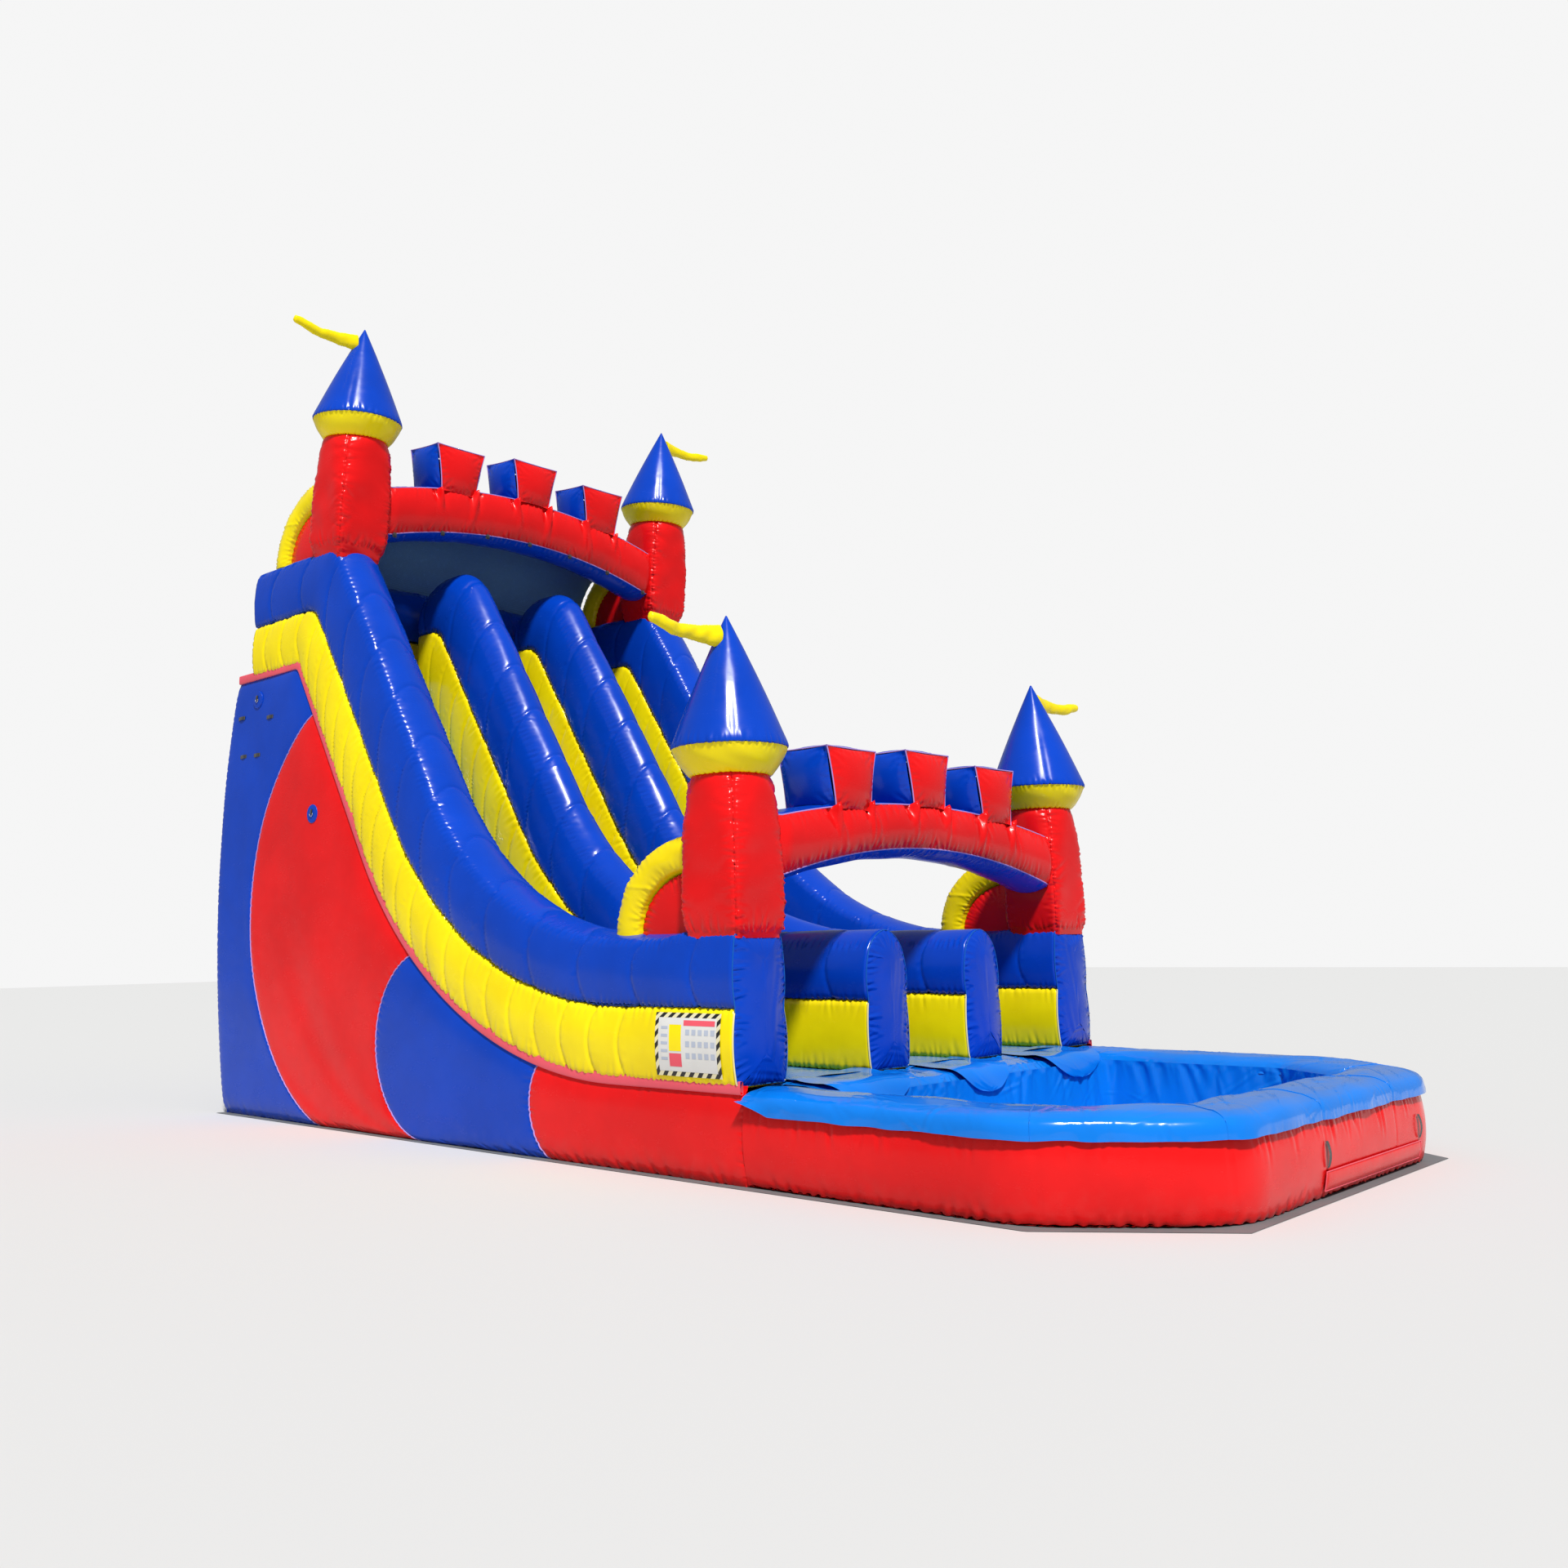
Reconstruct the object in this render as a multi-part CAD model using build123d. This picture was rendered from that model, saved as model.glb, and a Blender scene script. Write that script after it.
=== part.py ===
from build123d import *
import os
from math import cos, pi, radians, sin, sqrt, tan

# Inflatable castle water slide with a splash pool. Millimetres, +Z up, +X to the right as seen
# from the pool, +Y from the pool towards the tall rear end. The origin is on the ground, in the
# middle of the whole object's box.

# ---- driving dimensions ----
HALF_WIDTH = 2300  # outer side of the rails and of the pool
TUBE = 500  # width of a rail, and depth of an arch and of a tower's foot
DIVIDER = 474  # width of a divider
LANE_EDGE = 396  # the climbing lane reaches this far either side of the middle
WALL = 40  # thickness that stands in for a panel of coated fabric and the air behind it
WALL_FACE = 70  # the same, for each face of the rails' and dividers' lower tubes
SKIN = 30  # thickness that stands in for a lane's surface
SHEET = 4  # ground sheet
SHEET_MARGIN = 40  # the ground sheet shows by this much all round

SLIDE_LENGTH = 6600  # front face of the front towers to the rear panel's top edge
REAR_BULGE = 260  # how far the rear panel swells beyond its top and bottom edges
REAR_STRIPS = 6
RAIL_LENGTH = 6300
DIVIDER_LENGTH = 5560
DIVIDER_NOSE = 260  # radius of a divider's upper rear corner
REAR_WALL_Y = 5800  # front face of the rear wall on the platform, from the front face
POOL_REACH = 2850  # front face of the towers to the front of the pool
POOL_SIDE = 1950  # straight part of the pool's side
POOL_CORNER = 700  # width that each cut corner takes off the pool's front
POOL_WALL = 480
POOL_HEIGHT = 550
POOL_SILL = 300  # depth of the pool's rear wall, which the lanes run out over
SLEEVE_REACH = 450  # inlet sleeves, beyond the rear panel's top edge

# the slide's side profile, measured at the seam between a rail's upper and lower tube
SEAM_LOW = 1100
SEAM_HIGH = 4685
TUBE_HEIGHT = 495  # of each of the rail's two tubes, square to the slide
UPPER_GROWTH = 1.2  # the upper tubes are this much taller on the platform than at the pool
SLOPE_FOOT = 2975  # where the slope, drawn on, would meet the low level
SLOPE = radians(58)
FOOT_RADIUS = 3200
CREST_RADIUS = 230  # at the seam
CREST_GROWTH = -0.25  # the rails' crest is sharper away from the seam
DIVIDER_CREST_GROWTH = 0.35  # and the dividers' is rounder

TOWER_PITCH = 2050  # a tower's axis from the middle
REAR_TOWER = 4800  # front face of the rear towers, from the front face
BODY_HEIGHT = 1037
FOOT_REACH = 300  # a rear tower's foot follows the rail down past the crest
CUFF_HEIGHT = 189
CONE_HEIGHT = 936
# width of a tower's foot, then the radii of its body's top, its cuff's foot and its cone
GIRTHS = {"front": (530, 292, 308, 411), "rear": (566, 322, 336, 430)}
REAR_LEAN = 5.5  # degrees that the rear towers and their arch lean towards the pool
FLAG_THICKNESS = 90

MERLON_PITCH = 970
MERLON_FOOT = 440
MERLON_HEAD = 610
MERLON_HEIGHT = 420
BUTTRESS_WIDTH = 320
BUTTRESS_TUBE = 280

SLEEVE_RADIUS = 150
SLEEVE_WALL = 4
SLEEVE_X = 1200
SLEEVE_Z = 340

STEP_RADIUS = 95
STEP_COUNT = 9
STEP_FIRST, STEP_LAST = 0.34, 0.86  # places along the climbing lane's length
HANDLE_LENGTH = 240
HANDLE_STAND = 45
HANDLE_PLACES = (0.44, 0.6, 0.76)  # along the climbing lane's length
STRAP = 5
STRAP_WIDTH = 40
COVER = 6
COVER_DROP = 90
TAB_PITCH = 560

PATCH = 4
PATCH_RADIUS = 85
RING_GAP = 8  # the ring's bar stands this far off its patch
RING_WIRE = 3  # radius
RING_SIZE = 50
ZIP_LENGTH = 600
ZIP_Y = 5000  # rear end of the zip, from the front face
ZIP_Z = 420
TAPE = 2
COIL = 3
COIL_WIDTH = 6
SLIDER_LENGTH = 22
FLAP_STAND = 16  # the flap's hinge stands this far off the panel
FLAP_HEIGHT = 96

# ---- derived stations ----
BOX_LENGTH = SHEET_MARGIN + POOL_REACH + SLIDE_LENGTH + SLEEVE_REACH
FACE = SHEET_MARGIN + POOL_REACH - BOX_LENGTH / 2  # Y of the towers' front face
BASE_LOW = SEAM_LOW - TUBE_HEIGHT
BASE_HIGH = SEAM_HIGH - TUBE_HEIGHT
TOP_LOW = SEAM_LOW + TUBE_HEIGHT
TOP_HIGH = SEAM_HIGH + TUBE_HEIGHT * UPPER_GROWTH
RAIL_INNER = HALF_WIDTH - TUBE
DIVIDER_OUTER = LANE_EDGE + DIVIDER
DIVIDER_MIDDLE = LANE_EDGE + DIVIDER / 2
SIDES = {"left": -1, "right": 1}
# name: (side, front face of the tower, height of its foot)
TOWERS = {
    "front_left": (-1, FACE, TOP_LOW),
    "front_right": (1, FACE, TOP_LOW),
    "rear_left": (-1, FACE + REAR_TOWER, TOP_HIGH),
    "rear_right": (1, FACE + REAR_TOWER, TOP_HIGH),
}
# half span, and heights of the edges above the towers' feet, at the ends and in the middle
ARCHES = {
    "front": {"front": FACE, "foot": TOP_LOW, "half": 1752,
              "lower": (345, 580), "upper": (790, 950)},
    "rear": {"front": FACE + REAR_TOWER, "foot": TOP_HIGH, "half": 1720,
             "lower": (150, 390), "upper": (650, 860)},
}
# reach along Y and height above the tower's foot of each pair of buttresses
BUTTRESSES = {"front": (760, 680), "rear": (850, 760)}
BUTTRESS_GAP = 40  # clear of the tower, which swells a little above its foot
# name: (side, distance from the front face, height) of each guy-rope ring on the side panels
RINGS = {
    "upper_left": (-1, 6200, 3940),
    "lower_left": (-1, 5150, 2740),
    "upper_right": (1, 6200, 3940),
    "lower_right": (1, 5150, 2740),
}
# (distance from the front face, height) of the short straps on each side panel
SIDE_STRAPS = ((6500, 3790), (5960, 3740), (6440, 3400), (6180, 3390))


def box(x, y, z):
    """A box from its lowest and highest X, Y and Z."""
    size = (x[1] - x[0], y[1] - y[0], z[1] - z[0])
    return Pos(x[0], y[0], z[0]) * Box(*size, align=(Align.MIN, Align.MIN, Align.MIN))


def mirrored(side, low, high):
    """An X range on the given side of the middle."""
    return (low, high) if side > 0 else (-high, -low)


def group(solids):
    """Several separate solids as one node."""
    return Compound(children=list(solids))


def bend(middle, radius, start, end):
    """Arc about a middle point between two angles, given in radians from +Y towards +Z."""
    angles = (start, (start + end) / 2, end)
    return ThreePointArc(*[(middle[0] + radius * cos(a), middle[1] + radius * sin(a)) for a in angles])


def slide_line(offset, start, end, growth=CREST_GROWTH):
    """Side-view curve that runs the given distance above the rail's seam, in (Y, Z)."""
    upper = offset * UPPER_GROWTH if offset > 0 else offset
    low, high = SEAM_LOW + offset, SEAM_HIGH + upper
    slope_y = FACE + SLOPE_FOOT - upper * sin(SLOPE)
    slope_z = SEAM_LOW + upper * cos(SLOPE)
    foot_radius = FOOT_RADIUS - offset
    crest_radius = CREST_RADIUS + growth * abs(upper)
    foot_y = slope_y + (low - slope_z) / tan(SLOPE) - foot_radius * tan(SLOPE / 2)
    crest_y = slope_y + (high - slope_z) / tan(SLOPE) + crest_radius * tan(SLOPE / 2)
    foot = bend((foot_y, low + foot_radius), foot_radius, -pi / 2, SLOPE - pi / 2)
    crest = bend((crest_y, high - crest_radius), crest_radius, SLOPE + pi / 2, pi / 2)
    return Wire([Line((start, low), foot @ 0), foot, Line(foot @ 1, crest @ 0), crest,
                 Line(crest @ 1, (end, high))])


def side_extrude(face, x):
    """Extrude a face that was drawn in (Y, Z) across an X range."""
    return extrude(Plane(origin=(x[0], 0, 0), x_dir=(0, 1, 0), z_dir=(1, 0, 0)) * face, x[1] - x[0])


def front_extrude(face, y):
    """Extrude a face that was drawn in (X, Z) across a Y range."""
    return extrude(Plane(origin=(0, y[1], 0), x_dir=(1, 0, 0), z_dir=(0, -1, 0)) * face, y[1] - y[0])


def leaning(shape, front):
    """A rear tower's or the rear arch's shape, leant towards the pool about its foot."""
    if front == FACE:
        return shape
    foot = Pos(0, front + TUBE / 2, TOP_HIGH)
    return foot * Rot(REAR_LEAN, 0, 0) * foot.inverse() * shape


def band(low, high, start, end, x, nose=0, growth=CREST_GROWTH):
    """A strip of the slide between two offsets from the seam; nose rounds its upper rear corner."""
    bottom, top = slide_line(low, start, end), slide_line(high, start, end, growth)
    face = make_face([bottom, top, Line(bottom @ 0, top @ 0), Line(bottom @ 1, top @ 1)])
    strip = side_extrude(face, x)
    if nose:
        top = SEAM_HIGH + high * UPPER_GROWTH
        corner = box(x, (end - nose, end + nose), (top - nose, top + nose))
        corner -= Pos(sum(x) / 2, end - nose, top - nose) * (Rot(0, 90, 0) * Cylinder(nose, 2 * DIVIDER))
        strip -= corner
    return strip


def rear_curve(inset):
    """Side-view curve of the swollen rear panel, from its foot to its top edge."""
    rear = FACE + SLIDE_LENGTH - inset
    return ThreePointArc((rear, SHEET), (rear + REAR_BULGE, (SHEET + BASE_HIGH) / 2), (rear, BASE_HIGH))


# ---- base ----
def pool_plan(grow):
    """Outline of the pool with cut corners, grown or shrunk, and open towards the slide."""
    back = FACE + 1500
    plan = make_face(Polyline(
        (-HALF_WIDTH, back), (-HALF_WIDTH, FACE - POOL_SIDE),
        (-HALF_WIDTH + POOL_CORNER, FACE - POOL_REACH), (HALF_WIDTH - POOL_CORNER, FACE - POOL_REACH),
        (HALF_WIDTH, FACE - POOL_SIDE), (HALF_WIDTH, back), close=True))
    return offset(plan, grow, kind=Kind.INTERSECTION) if grow else plan


def pool_prism(grow, low, high, back=FACE - 1):
    """The pool's outline as an upright block that ends at the slide."""
    block = Pos(0, 0, low) * extrude(pool_plan(grow), high - low)
    reach = 2 * HALF_WIDTH
    return block & box((-reach, reach), (FACE - reach, back), (low, high))


def ground_sheet():
    slide = box((-HALF_WIDTH - SHEET_MARGIN, HALF_WIDTH + SHEET_MARGIN),
                (FACE - 1, FACE + SLIDE_LENGTH + SHEET_MARGIN), (0, SHEET))
    return slide + pool_prism(SHEET_MARGIN, 0, SHEET, back=FACE)


def side_panel(side):
    edge = rear_curve(0)
    top = slide_line(-TUBE_HEIGHT, FACE, FACE + SLIDE_LENGTH)
    face = make_face([edge, top, Line(top @ 0, (FACE, SHEET)), Line((FACE, SHEET), edge @ 0)])
    return side_extrude(face, mirrored(side, HALF_WIDTH - WALL, HALF_WIDTH))


def rear_panel():
    """Swollen rear panel, sewn from level strips, with the two inlet sleeves through the lowest."""
    outer, inner = rear_curve(0), rear_curve(WALL)
    face = make_face([outer, inner, Line(outer @ 0, inner @ 0), Line(outer @ 1, inner @ 1)])
    half = HALF_WIDTH - WALL
    panel = side_extrude(face, (-half, half))
    for side in SIDES.values():
        panel -= sleeve_cylinder(side, SLEEVE_RADIUS)
    height = BASE_HIGH / REAR_STRIPS
    return group(panel & box((-half, half), (FACE, FACE + 2 * SLIDE_LENGTH), (i * height, (i + 1) * height))
                 for i in range(REAR_STRIPS))


def sleeve_cylinder(side, radius):
    middle = FACE + SLIDE_LENGTH - WALL
    length = WALL + SLEEVE_REACH
    return Pos(side * SLEEVE_X, middle, SLEEVE_Z) * (
        Rot(-90, 0, 0) * Cylinder(radius, length, align=(Align.CENTER, Align.CENTER, Align.MIN)))


def inlet_sleeves():
    return group(
        sleeve_cylinder(side, SLEEVE_RADIUS) - sleeve_cylinder(side, SLEEVE_RADIUS - SLEEVE_WALL)
        for side in SIDES.values())


def front_base_panel():
    half = HALF_WIDTH - WALL
    return box((-half, half), (FACE, FACE + WALL), (SHEET, BASE_LOW - SKIN))


def internal_baffles():
    """Upright diaphragms under the lanes, pierced so that the air passes."""
    start, end, thickness, hole = FACE + 60, FACE + SLIDE_LENGTH - 100, 10, 200
    top = slide_line(-TUBE_HEIGHT - SKIN, start, end)
    face = make_face([top, Line(top @ 0, (start, SHEET)), Line((start, SHEET), (end, SHEET)),
                      Line((end, SHEET), top @ 1)])
    for y, z in ((3700, 700), (4500, 1300), (5300, 2200), (5900, 3200), (5600, 900)):
        face -= Pos(FACE + y, z) * Circle(hole)
    lane_middle = (RAIL_INNER + DIVIDER_OUTER) / 2
    return group(side_extrude(face, (x - thickness / 2, x + thickness / 2))
                 for x in (-lane_middle, -DIVIDER_MIDDLE, DIVIDER_MIDDLE, lane_middle))


# ---- rails, dividers and lanes ----
def wall_faces(x, length):
    """The two faces of a lower tube, with its air space between them."""
    return group(band(-TUBE_HEIGHT, 0, FACE + WALL, FACE + length, face)
                 for face in ((x[0], x[0] + WALL_FACE), (x[1] - WALL_FACE, x[1])))


def rail_wall(side):
    return wall_faces(mirrored(side, RAIL_INNER, HALF_WIDTH), RAIL_LENGTH)


def rail_tube(side):
    return band(0, TUBE_HEIGHT, FACE + WALL, FACE + RAIL_LENGTH, mirrored(side, RAIL_INNER, HALF_WIDTH))


def end_cap(x, shoulder):
    """Upright front end of a rail or divider; shoulder is the radius of its top corners."""
    slab = box(x, (FACE, FACE + WALL), (BASE_LOW, TOP_LOW))
    return fillet(slab.edges().filter_by(Axis.Y).group_by(Axis.Z)[-1], shoulder)


def rail_end_caps():
    return group(end_cap(mirrored(side, RAIL_INNER, HALF_WIDTH), 20) for side in SIDES.values())


def divider_end_caps():
    return group(end_cap(mirrored(side, LANE_EDGE, DIVIDER_OUTER), 200) for side in SIDES.values())


def divider_wall(side):
    return wall_faces(mirrored(side, LANE_EDGE, DIVIDER_OUTER), DIVIDER_LENGTH)


def divider_tube(side):
    x = mirrored(side, LANE_EDGE, DIVIDER_OUTER)
    return band(0, TUBE_HEIGHT, FACE + WALL, FACE + DIVIDER_LENGTH, x,
                nose=DIVIDER_NOSE, growth=DIVIDER_CREST_GROWTH)


def lane(x):
    return band(-TUBE_HEIGHT - SKIN, -TUBE_HEIGHT, FACE, FACE + DIVIDER_LENGTH, x)


def slide_lane(side):
    return lane(mirrored(side, DIVIDER_MIDDLE, HALF_WIDTH - WALL))


def climb_lane():
    return lane((-DIVIDER_MIDDLE, DIVIDER_MIDDLE))


def climb_path():
    """Middle line of the climbing lane's surface."""
    return slide_line(-TUBE_HEIGHT, FACE, FACE + DIVIDER_LENGTH)


def climb_steps():
    """Soft rolls across the climbing lane."""
    path, half = climb_path(), LANE_EDGE - 6
    steps = []
    for i in range(STEP_COUNT):
        place = path @ (STEP_FIRST + (STEP_LAST - STEP_FIRST) * i / (STEP_COUNT - 1))
        roll = Pos(0, place.X, place.Y) * (Rot(0, 90, 0) * Cylinder(STEP_RADIUS, 2 * half))
        below = band(-TUBE_HEIGHT - 3 * STEP_RADIUS, -TUBE_HEIGHT, FACE, FACE + DIVIDER_LENGTH, (-half, half))
        steps.append(roll - below)
    return group(steps)


def climb_handles():
    """Webbing grab loops on the walls beside the climbing lane."""
    path = slide_line(-TUBE_HEIGHT / 2, FACE, FACE + DIVIDER_LENGTH)
    half = HANDLE_LENGTH / 2
    loop = make_face(Polyline((-half, 0), (-half + 30, HANDLE_STAND), (half - 30, HANDLE_STAND), (half, 0),
                              (half - 12, 0), (half - 36, HANDLE_STAND - STRAP),
                              (-half + 36, HANDLE_STAND - STRAP), (-half + 12, 0), close=True))
    strap = Pos(0, 0, -STRAP_WIDTH / 2) * extrude(loop, STRAP_WIDTH)
    handles = []
    for side in SIDES.values():
        for place in HANDLE_PLACES:
            point, run = path @ place, path % place
            plane = Plane(origin=(side * LANE_EDGE, point.X, point.Y),
                          x_dir=(0, run.X, run.Y), z_dir=(0, -side * run.Y, side * run.X))
            handles.append(plane * strap)
    return group(handles)


def lane_flaps():
    """Tongues of sheet that carry each lane's surface over the pool's rear edge."""
    reach, thickness, gap = 330, 6, 8
    flaps = []
    for low, high in ((-RAIL_INNER, -DIVIDER_OUTER), (-LANE_EDGE, LANE_EDGE), (DIVIDER_OUTER, RAIL_INNER)):
        flap = box((low + gap, high - gap), (FACE - reach, FACE + 200), (BASE_LOW, BASE_LOW + thickness))
        corners = flap.edges().filter_by(Axis.Z).group_by(Axis.Y)[0]
        flaps.append(fillet(corners, 300))
    return group(flaps)


def platform_deck():
    half = HALF_WIDTH - WALL
    y = (FACE + DIVIDER_LENGTH, FACE + SLIDE_LENGTH - WALL)
    return box((-half, half), y, (BASE_HIGH - SKIN, BASE_HIGH))


def rear_wall_tube():
    return box((-RAIL_INNER, RAIL_INNER), (FACE + REAR_WALL_Y, FACE + RAIL_LENGTH), (SEAM_HIGH, TOP_HIGH))


def rear_wall_lower():
    front, back = FACE + REAR_WALL_Y, FACE + RAIL_LENGTH
    return group(box((-RAIL_INNER, RAIL_INNER), y, (BASE_HIGH, SEAM_HIGH))
                 for y in ((front, front + WALL_FACE), (back - WALL_FACE, back)))


# ---- towers ----
def girth(front):
    return GIRTHS["front" if front == FACE else "rear"]


def tower_body(side, front, foot):
    width, top_radius, _, _ = girth(front)
    square = RectangleRounded(width, width, 70)
    circle = RectangleRounded(2 * top_radius, 2 * top_radius, top_radius - 1)
    body = loft([square, Pos(0, 0, BODY_HEIGHT) * circle])
    if foot == TOP_HIGH:
        body += extrude(Pos(0, 0, -FOOT_REACH) * RectangleRounded(TUBE, TUBE, 70), FOOT_REACH)
    body = Pos(side * TOWER_PITCH, front + TUBE / 2, foot) * body
    return leaning(body, front) - rail_tube(side)


def tower_cuff(side, front, foot):
    _, _, low, high = girth(front)
    cuff = Cone(low, high, CUFF_HEIGHT, align=(Align.CENTER, Align.CENTER, Align.MIN))
    return leaning(Pos(side * TOWER_PITCH, front + TUBE / 2, foot + BODY_HEIGHT) * cuff, front)


def tower_cone(side, front, foot):
    cone = Cone(girth(front)[3], 8, CONE_HEIGHT, align=(Align.CENTER, Align.CENTER, Align.MIN))
    return leaning(Pos(side * TOWER_PITCH, front + TUBE / 2, foot + BODY_HEIGHT + CUFF_HEIGHT) * cone, front)


def tower_flags():
    """Wavy inflated pennants that point outwards just under the cones' tips."""
    upper = Spline((85, -70), (270, -95), (500, -120), (775, -95))
    lower = Spline((120, -240), (320, -225), (560, -230), (760, -185))
    outline = make_face([upper, lower, Line(upper @ 0, lower @ 0), Line(upper @ 1, lower @ 1)])
    flags = []
    for side, front, foot in TOWERS.values():
        face = outline if side > 0 else mirror(outline, Plane.YZ)
        tip = foot + BODY_HEIGHT + CUFF_HEIGHT + CONE_HEIGHT
        middle = front + TUBE / 2
        flag = front_extrude(face, (middle - FLAG_THICKNESS / 2, middle + FLAG_THICKNESS / 2))
        flags.append(leaning(Pos(side * TOWER_PITCH, 0, tip) * flag, front))
    return group(flags)


# ---- arches ----
def arch_height(x, edge, half):
    """Height at x of the arc that has an edge's heights at its ends and in the middle."""
    end, middle = edge
    rise = middle - end
    radius = (half**2 + rise**2) / (2 * rise)
    return middle - radius + sqrt(radius**2 - x**2)


def upright_arch(spec):
    edges, half = [], spec["half"]
    for end, middle in (spec["lower"], spec["upper"]):
        end, middle = end + spec["foot"], middle + spec["foot"]
        edges.append(ThreePointArc((-half, end), (0, middle), (half, end)))
    low, high = edges
    face = make_face([low, high, Line(low @ 0, high @ 0), Line(low @ 1, high @ 1)])
    return front_extrude(face, (spec["front"], spec["front"] + TUBE))


def arch(spec):
    return leaning(upright_arch(spec), spec["front"])


def merlons(spec):
    """Three battlements that flare upwards, cut to sit on their arch."""
    beam, blocks = upright_arch(spec), []
    for x in (-MERLON_PITCH, 0, MERLON_PITCH):
        foot = spec["foot"] + arch_height(abs(x) + MERLON_FOOT / 2, spec["upper"], spec["half"]) - 15
        head = spec["foot"] + arch_height(x, spec["upper"], spec["half"]) + MERLON_HEIGHT
        face = make_face(Polyline((x - MERLON_FOOT / 2, foot), (x + MERLON_FOOT / 2, foot),
                                  (x + MERLON_HEAD / 2, head), (x - MERLON_HEAD / 2, head), close=True))
        block = front_extrude(face, (spec["front"], spec["front"] + TUBE)) - beam
        blocks.append(leaning(block, spec["front"]))
    return blocks


# ---- buttresses behind the towers ----
def quarter_ellipse(reach, height):
    return Ellipse(reach, height) & Rectangle(reach, height, align=(Align.MIN, Align.MIN))


def buttress(name, outer):
    """One buttress: its outer tube, or the flat web inside it."""
    side, front, foot = TOWERS[name]
    reach, height = BUTTRESSES[name.split("_")[0]]
    inner = quarter_ellipse(reach - BUTTRESS_TUBE, height - BUTTRESS_TUBE)
    face = quarter_ellipse(reach, height) - inner if outer else inner
    width = BUTTRESS_WIDTH if outer else BUTTRESS_WIDTH - 60
    middle = side * TOWER_PITCH
    across = (middle - width / 2, middle + width / 2)
    return side_extrude(Pos(front + TUBE + BUTTRESS_GAP, foot) * face, across) - rail_tube(side)


def rear_net():
    """Screen that follows the rear buttresses from the arch down to the rear wall."""
    reach, height = BUTTRESSES["rear"]
    face = quarter_ellipse(reach, height) - quarter_ellipse(reach - 6, height - 6)
    half = TOWER_PITCH - BUTTRESS_WIDTH / 2 - 20
    start = FACE + REAR_TOWER + TUBE + BUTTRESS_GAP
    return side_extrude(Pos(start, TOP_HIGH) * face, (-half, half))


# ---- pool ----
def pool_wall():
    inside = pool_prism(-POOL_WALL, SHEET, POOL_HEIGHT, back=FACE - POOL_SILL)
    return pool_prism(0, SHEET, POOL_HEIGHT) - inside


def pool_cover():
    """Sheet over the top of the pool's wall, with a skirt that hangs down outside."""
    top = POOL_HEIGHT + COVER
    whole = pool_prism(2 + COVER, POOL_HEIGHT - COVER_DROP, top)
    whole -= pool_prism(2, POOL_HEIGHT - COVER_DROP, POOL_HEIGHT)
    hem = 12
    return whole - pool_prism(-POOL_WALL - hem, POOL_HEIGHT - 1, top, back=FACE - POOL_SILL - hem)


def pool_liner():
    """Open tub that lies inside the wall and on the ground sheet."""
    gap, sheet = 2, 8
    back = FACE - POOL_SILL - gap
    tub = pool_prism(-POOL_WALL - gap, SHEET, POOL_HEIGHT - 1, back=back)
    return tub - pool_prism(-POOL_WALL - gap - sheet, SHEET + sheet, POOL_HEIGHT, back=back - sheet)


def drain_pocket():
    """Stitched cover of the pool's drain, with its two straps, on the pool's front."""
    front = FACE - POOL_REACH
    low, high = -460, 1220
    cover = box((low, high), (front - 4, front), (50, 160))
    straps = [box((x - 20, x + 20), (front - 4, front), (180, 330)) for x in (low + 25, high - 25)]
    return group([cover, *straps])


# ---- trim ----
def label_panel():
    """Blank information panel with a plain border, on the left rail's lower tube."""
    return box((-HALF_WIDTH - 4, -HALF_WIDTH), (FACE + 150, FACE + 740), (655, 1065))


def hose_tabs():
    """Stitched tabs with grommets along the rear arch, which carry a spray hose."""
    spec = ARCHES["rear"]
    tabs = []
    for i in range(7):
        x = (i - 3) * TAB_PITCH
        z = spec["foot"] + arch_height(x, spec["lower"], spec["half"]) + 45
        tab = box((x - 20, x + 20), (spec["front"] - 4, spec["front"]), (z - 35, z + 35))
        grommet = Pos(x, spec["front"] - 4, z - 15) * (Rot(90, 0, 0) * Cylinder(
            14, 4, align=(Align.CENTER, Align.CENTER, Align.MIN)))
        tabs.append(leaning(tab + grommet, spec["front"]))
    return group(tabs)


def ring_axis(name):
    """Middle of a ring's hinge bar."""
    side, y, z = RINGS[name]
    return side * (HALF_WIDTH + PATCH + RING_GAP), FACE + y, z


def guy_ring(name):
    """D-shaped ring that hangs from its bar, welded at the bar's ends."""
    half = RING_SIZE / 2
    lower_half = Box(2 * RING_SIZE, RING_SIZE, RING_SIZE, align=(Align.CENTER, Align.MAX, Align.CENTER))
    bow = Torus(half, RING_WIRE) & lower_half
    bar = Rot(0, 90, 0) * Cylinder(RING_WIRE, RING_SIZE)
    welds = [Pos(end, 0, 0) * Sphere(RING_WIRE + 0.5) for end in (-half, half)]
    x, y, z = ring_axis(name)
    return Plane(origin=(x, y, z), x_dir=(0, 1, 0), z_dir=(1, 0, 0)) * (bow + bar + welds)


def ring_patches():
    """Round patches on the side panels, each with the webbing that holds a ring's bar."""
    patches = []
    for name, (side, _, _) in RINGS.items():
        x, y, z = ring_axis(name)
        patch = Pos(side * (HALF_WIDTH + PATCH / 2), y, z) * (Rot(0, 90, 0) * Cylinder(PATCH_RADIUS, PATCH))
        loop = Pos(x, y, z) * (Rot(90, 0, 0) * Cylinder(6, 26))
        foot = box(mirrored(side, HALF_WIDTH + PATCH, abs(x)), (y - 13, y + 13), (z, z + 40))
        bore = Pos(x, y, z) * (Rot(90, 0, 0) * Cylinder(RING_WIRE + 0.5, 60))
        patches.append(patch + (loop + foot - bore))
    return group(patches)


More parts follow.
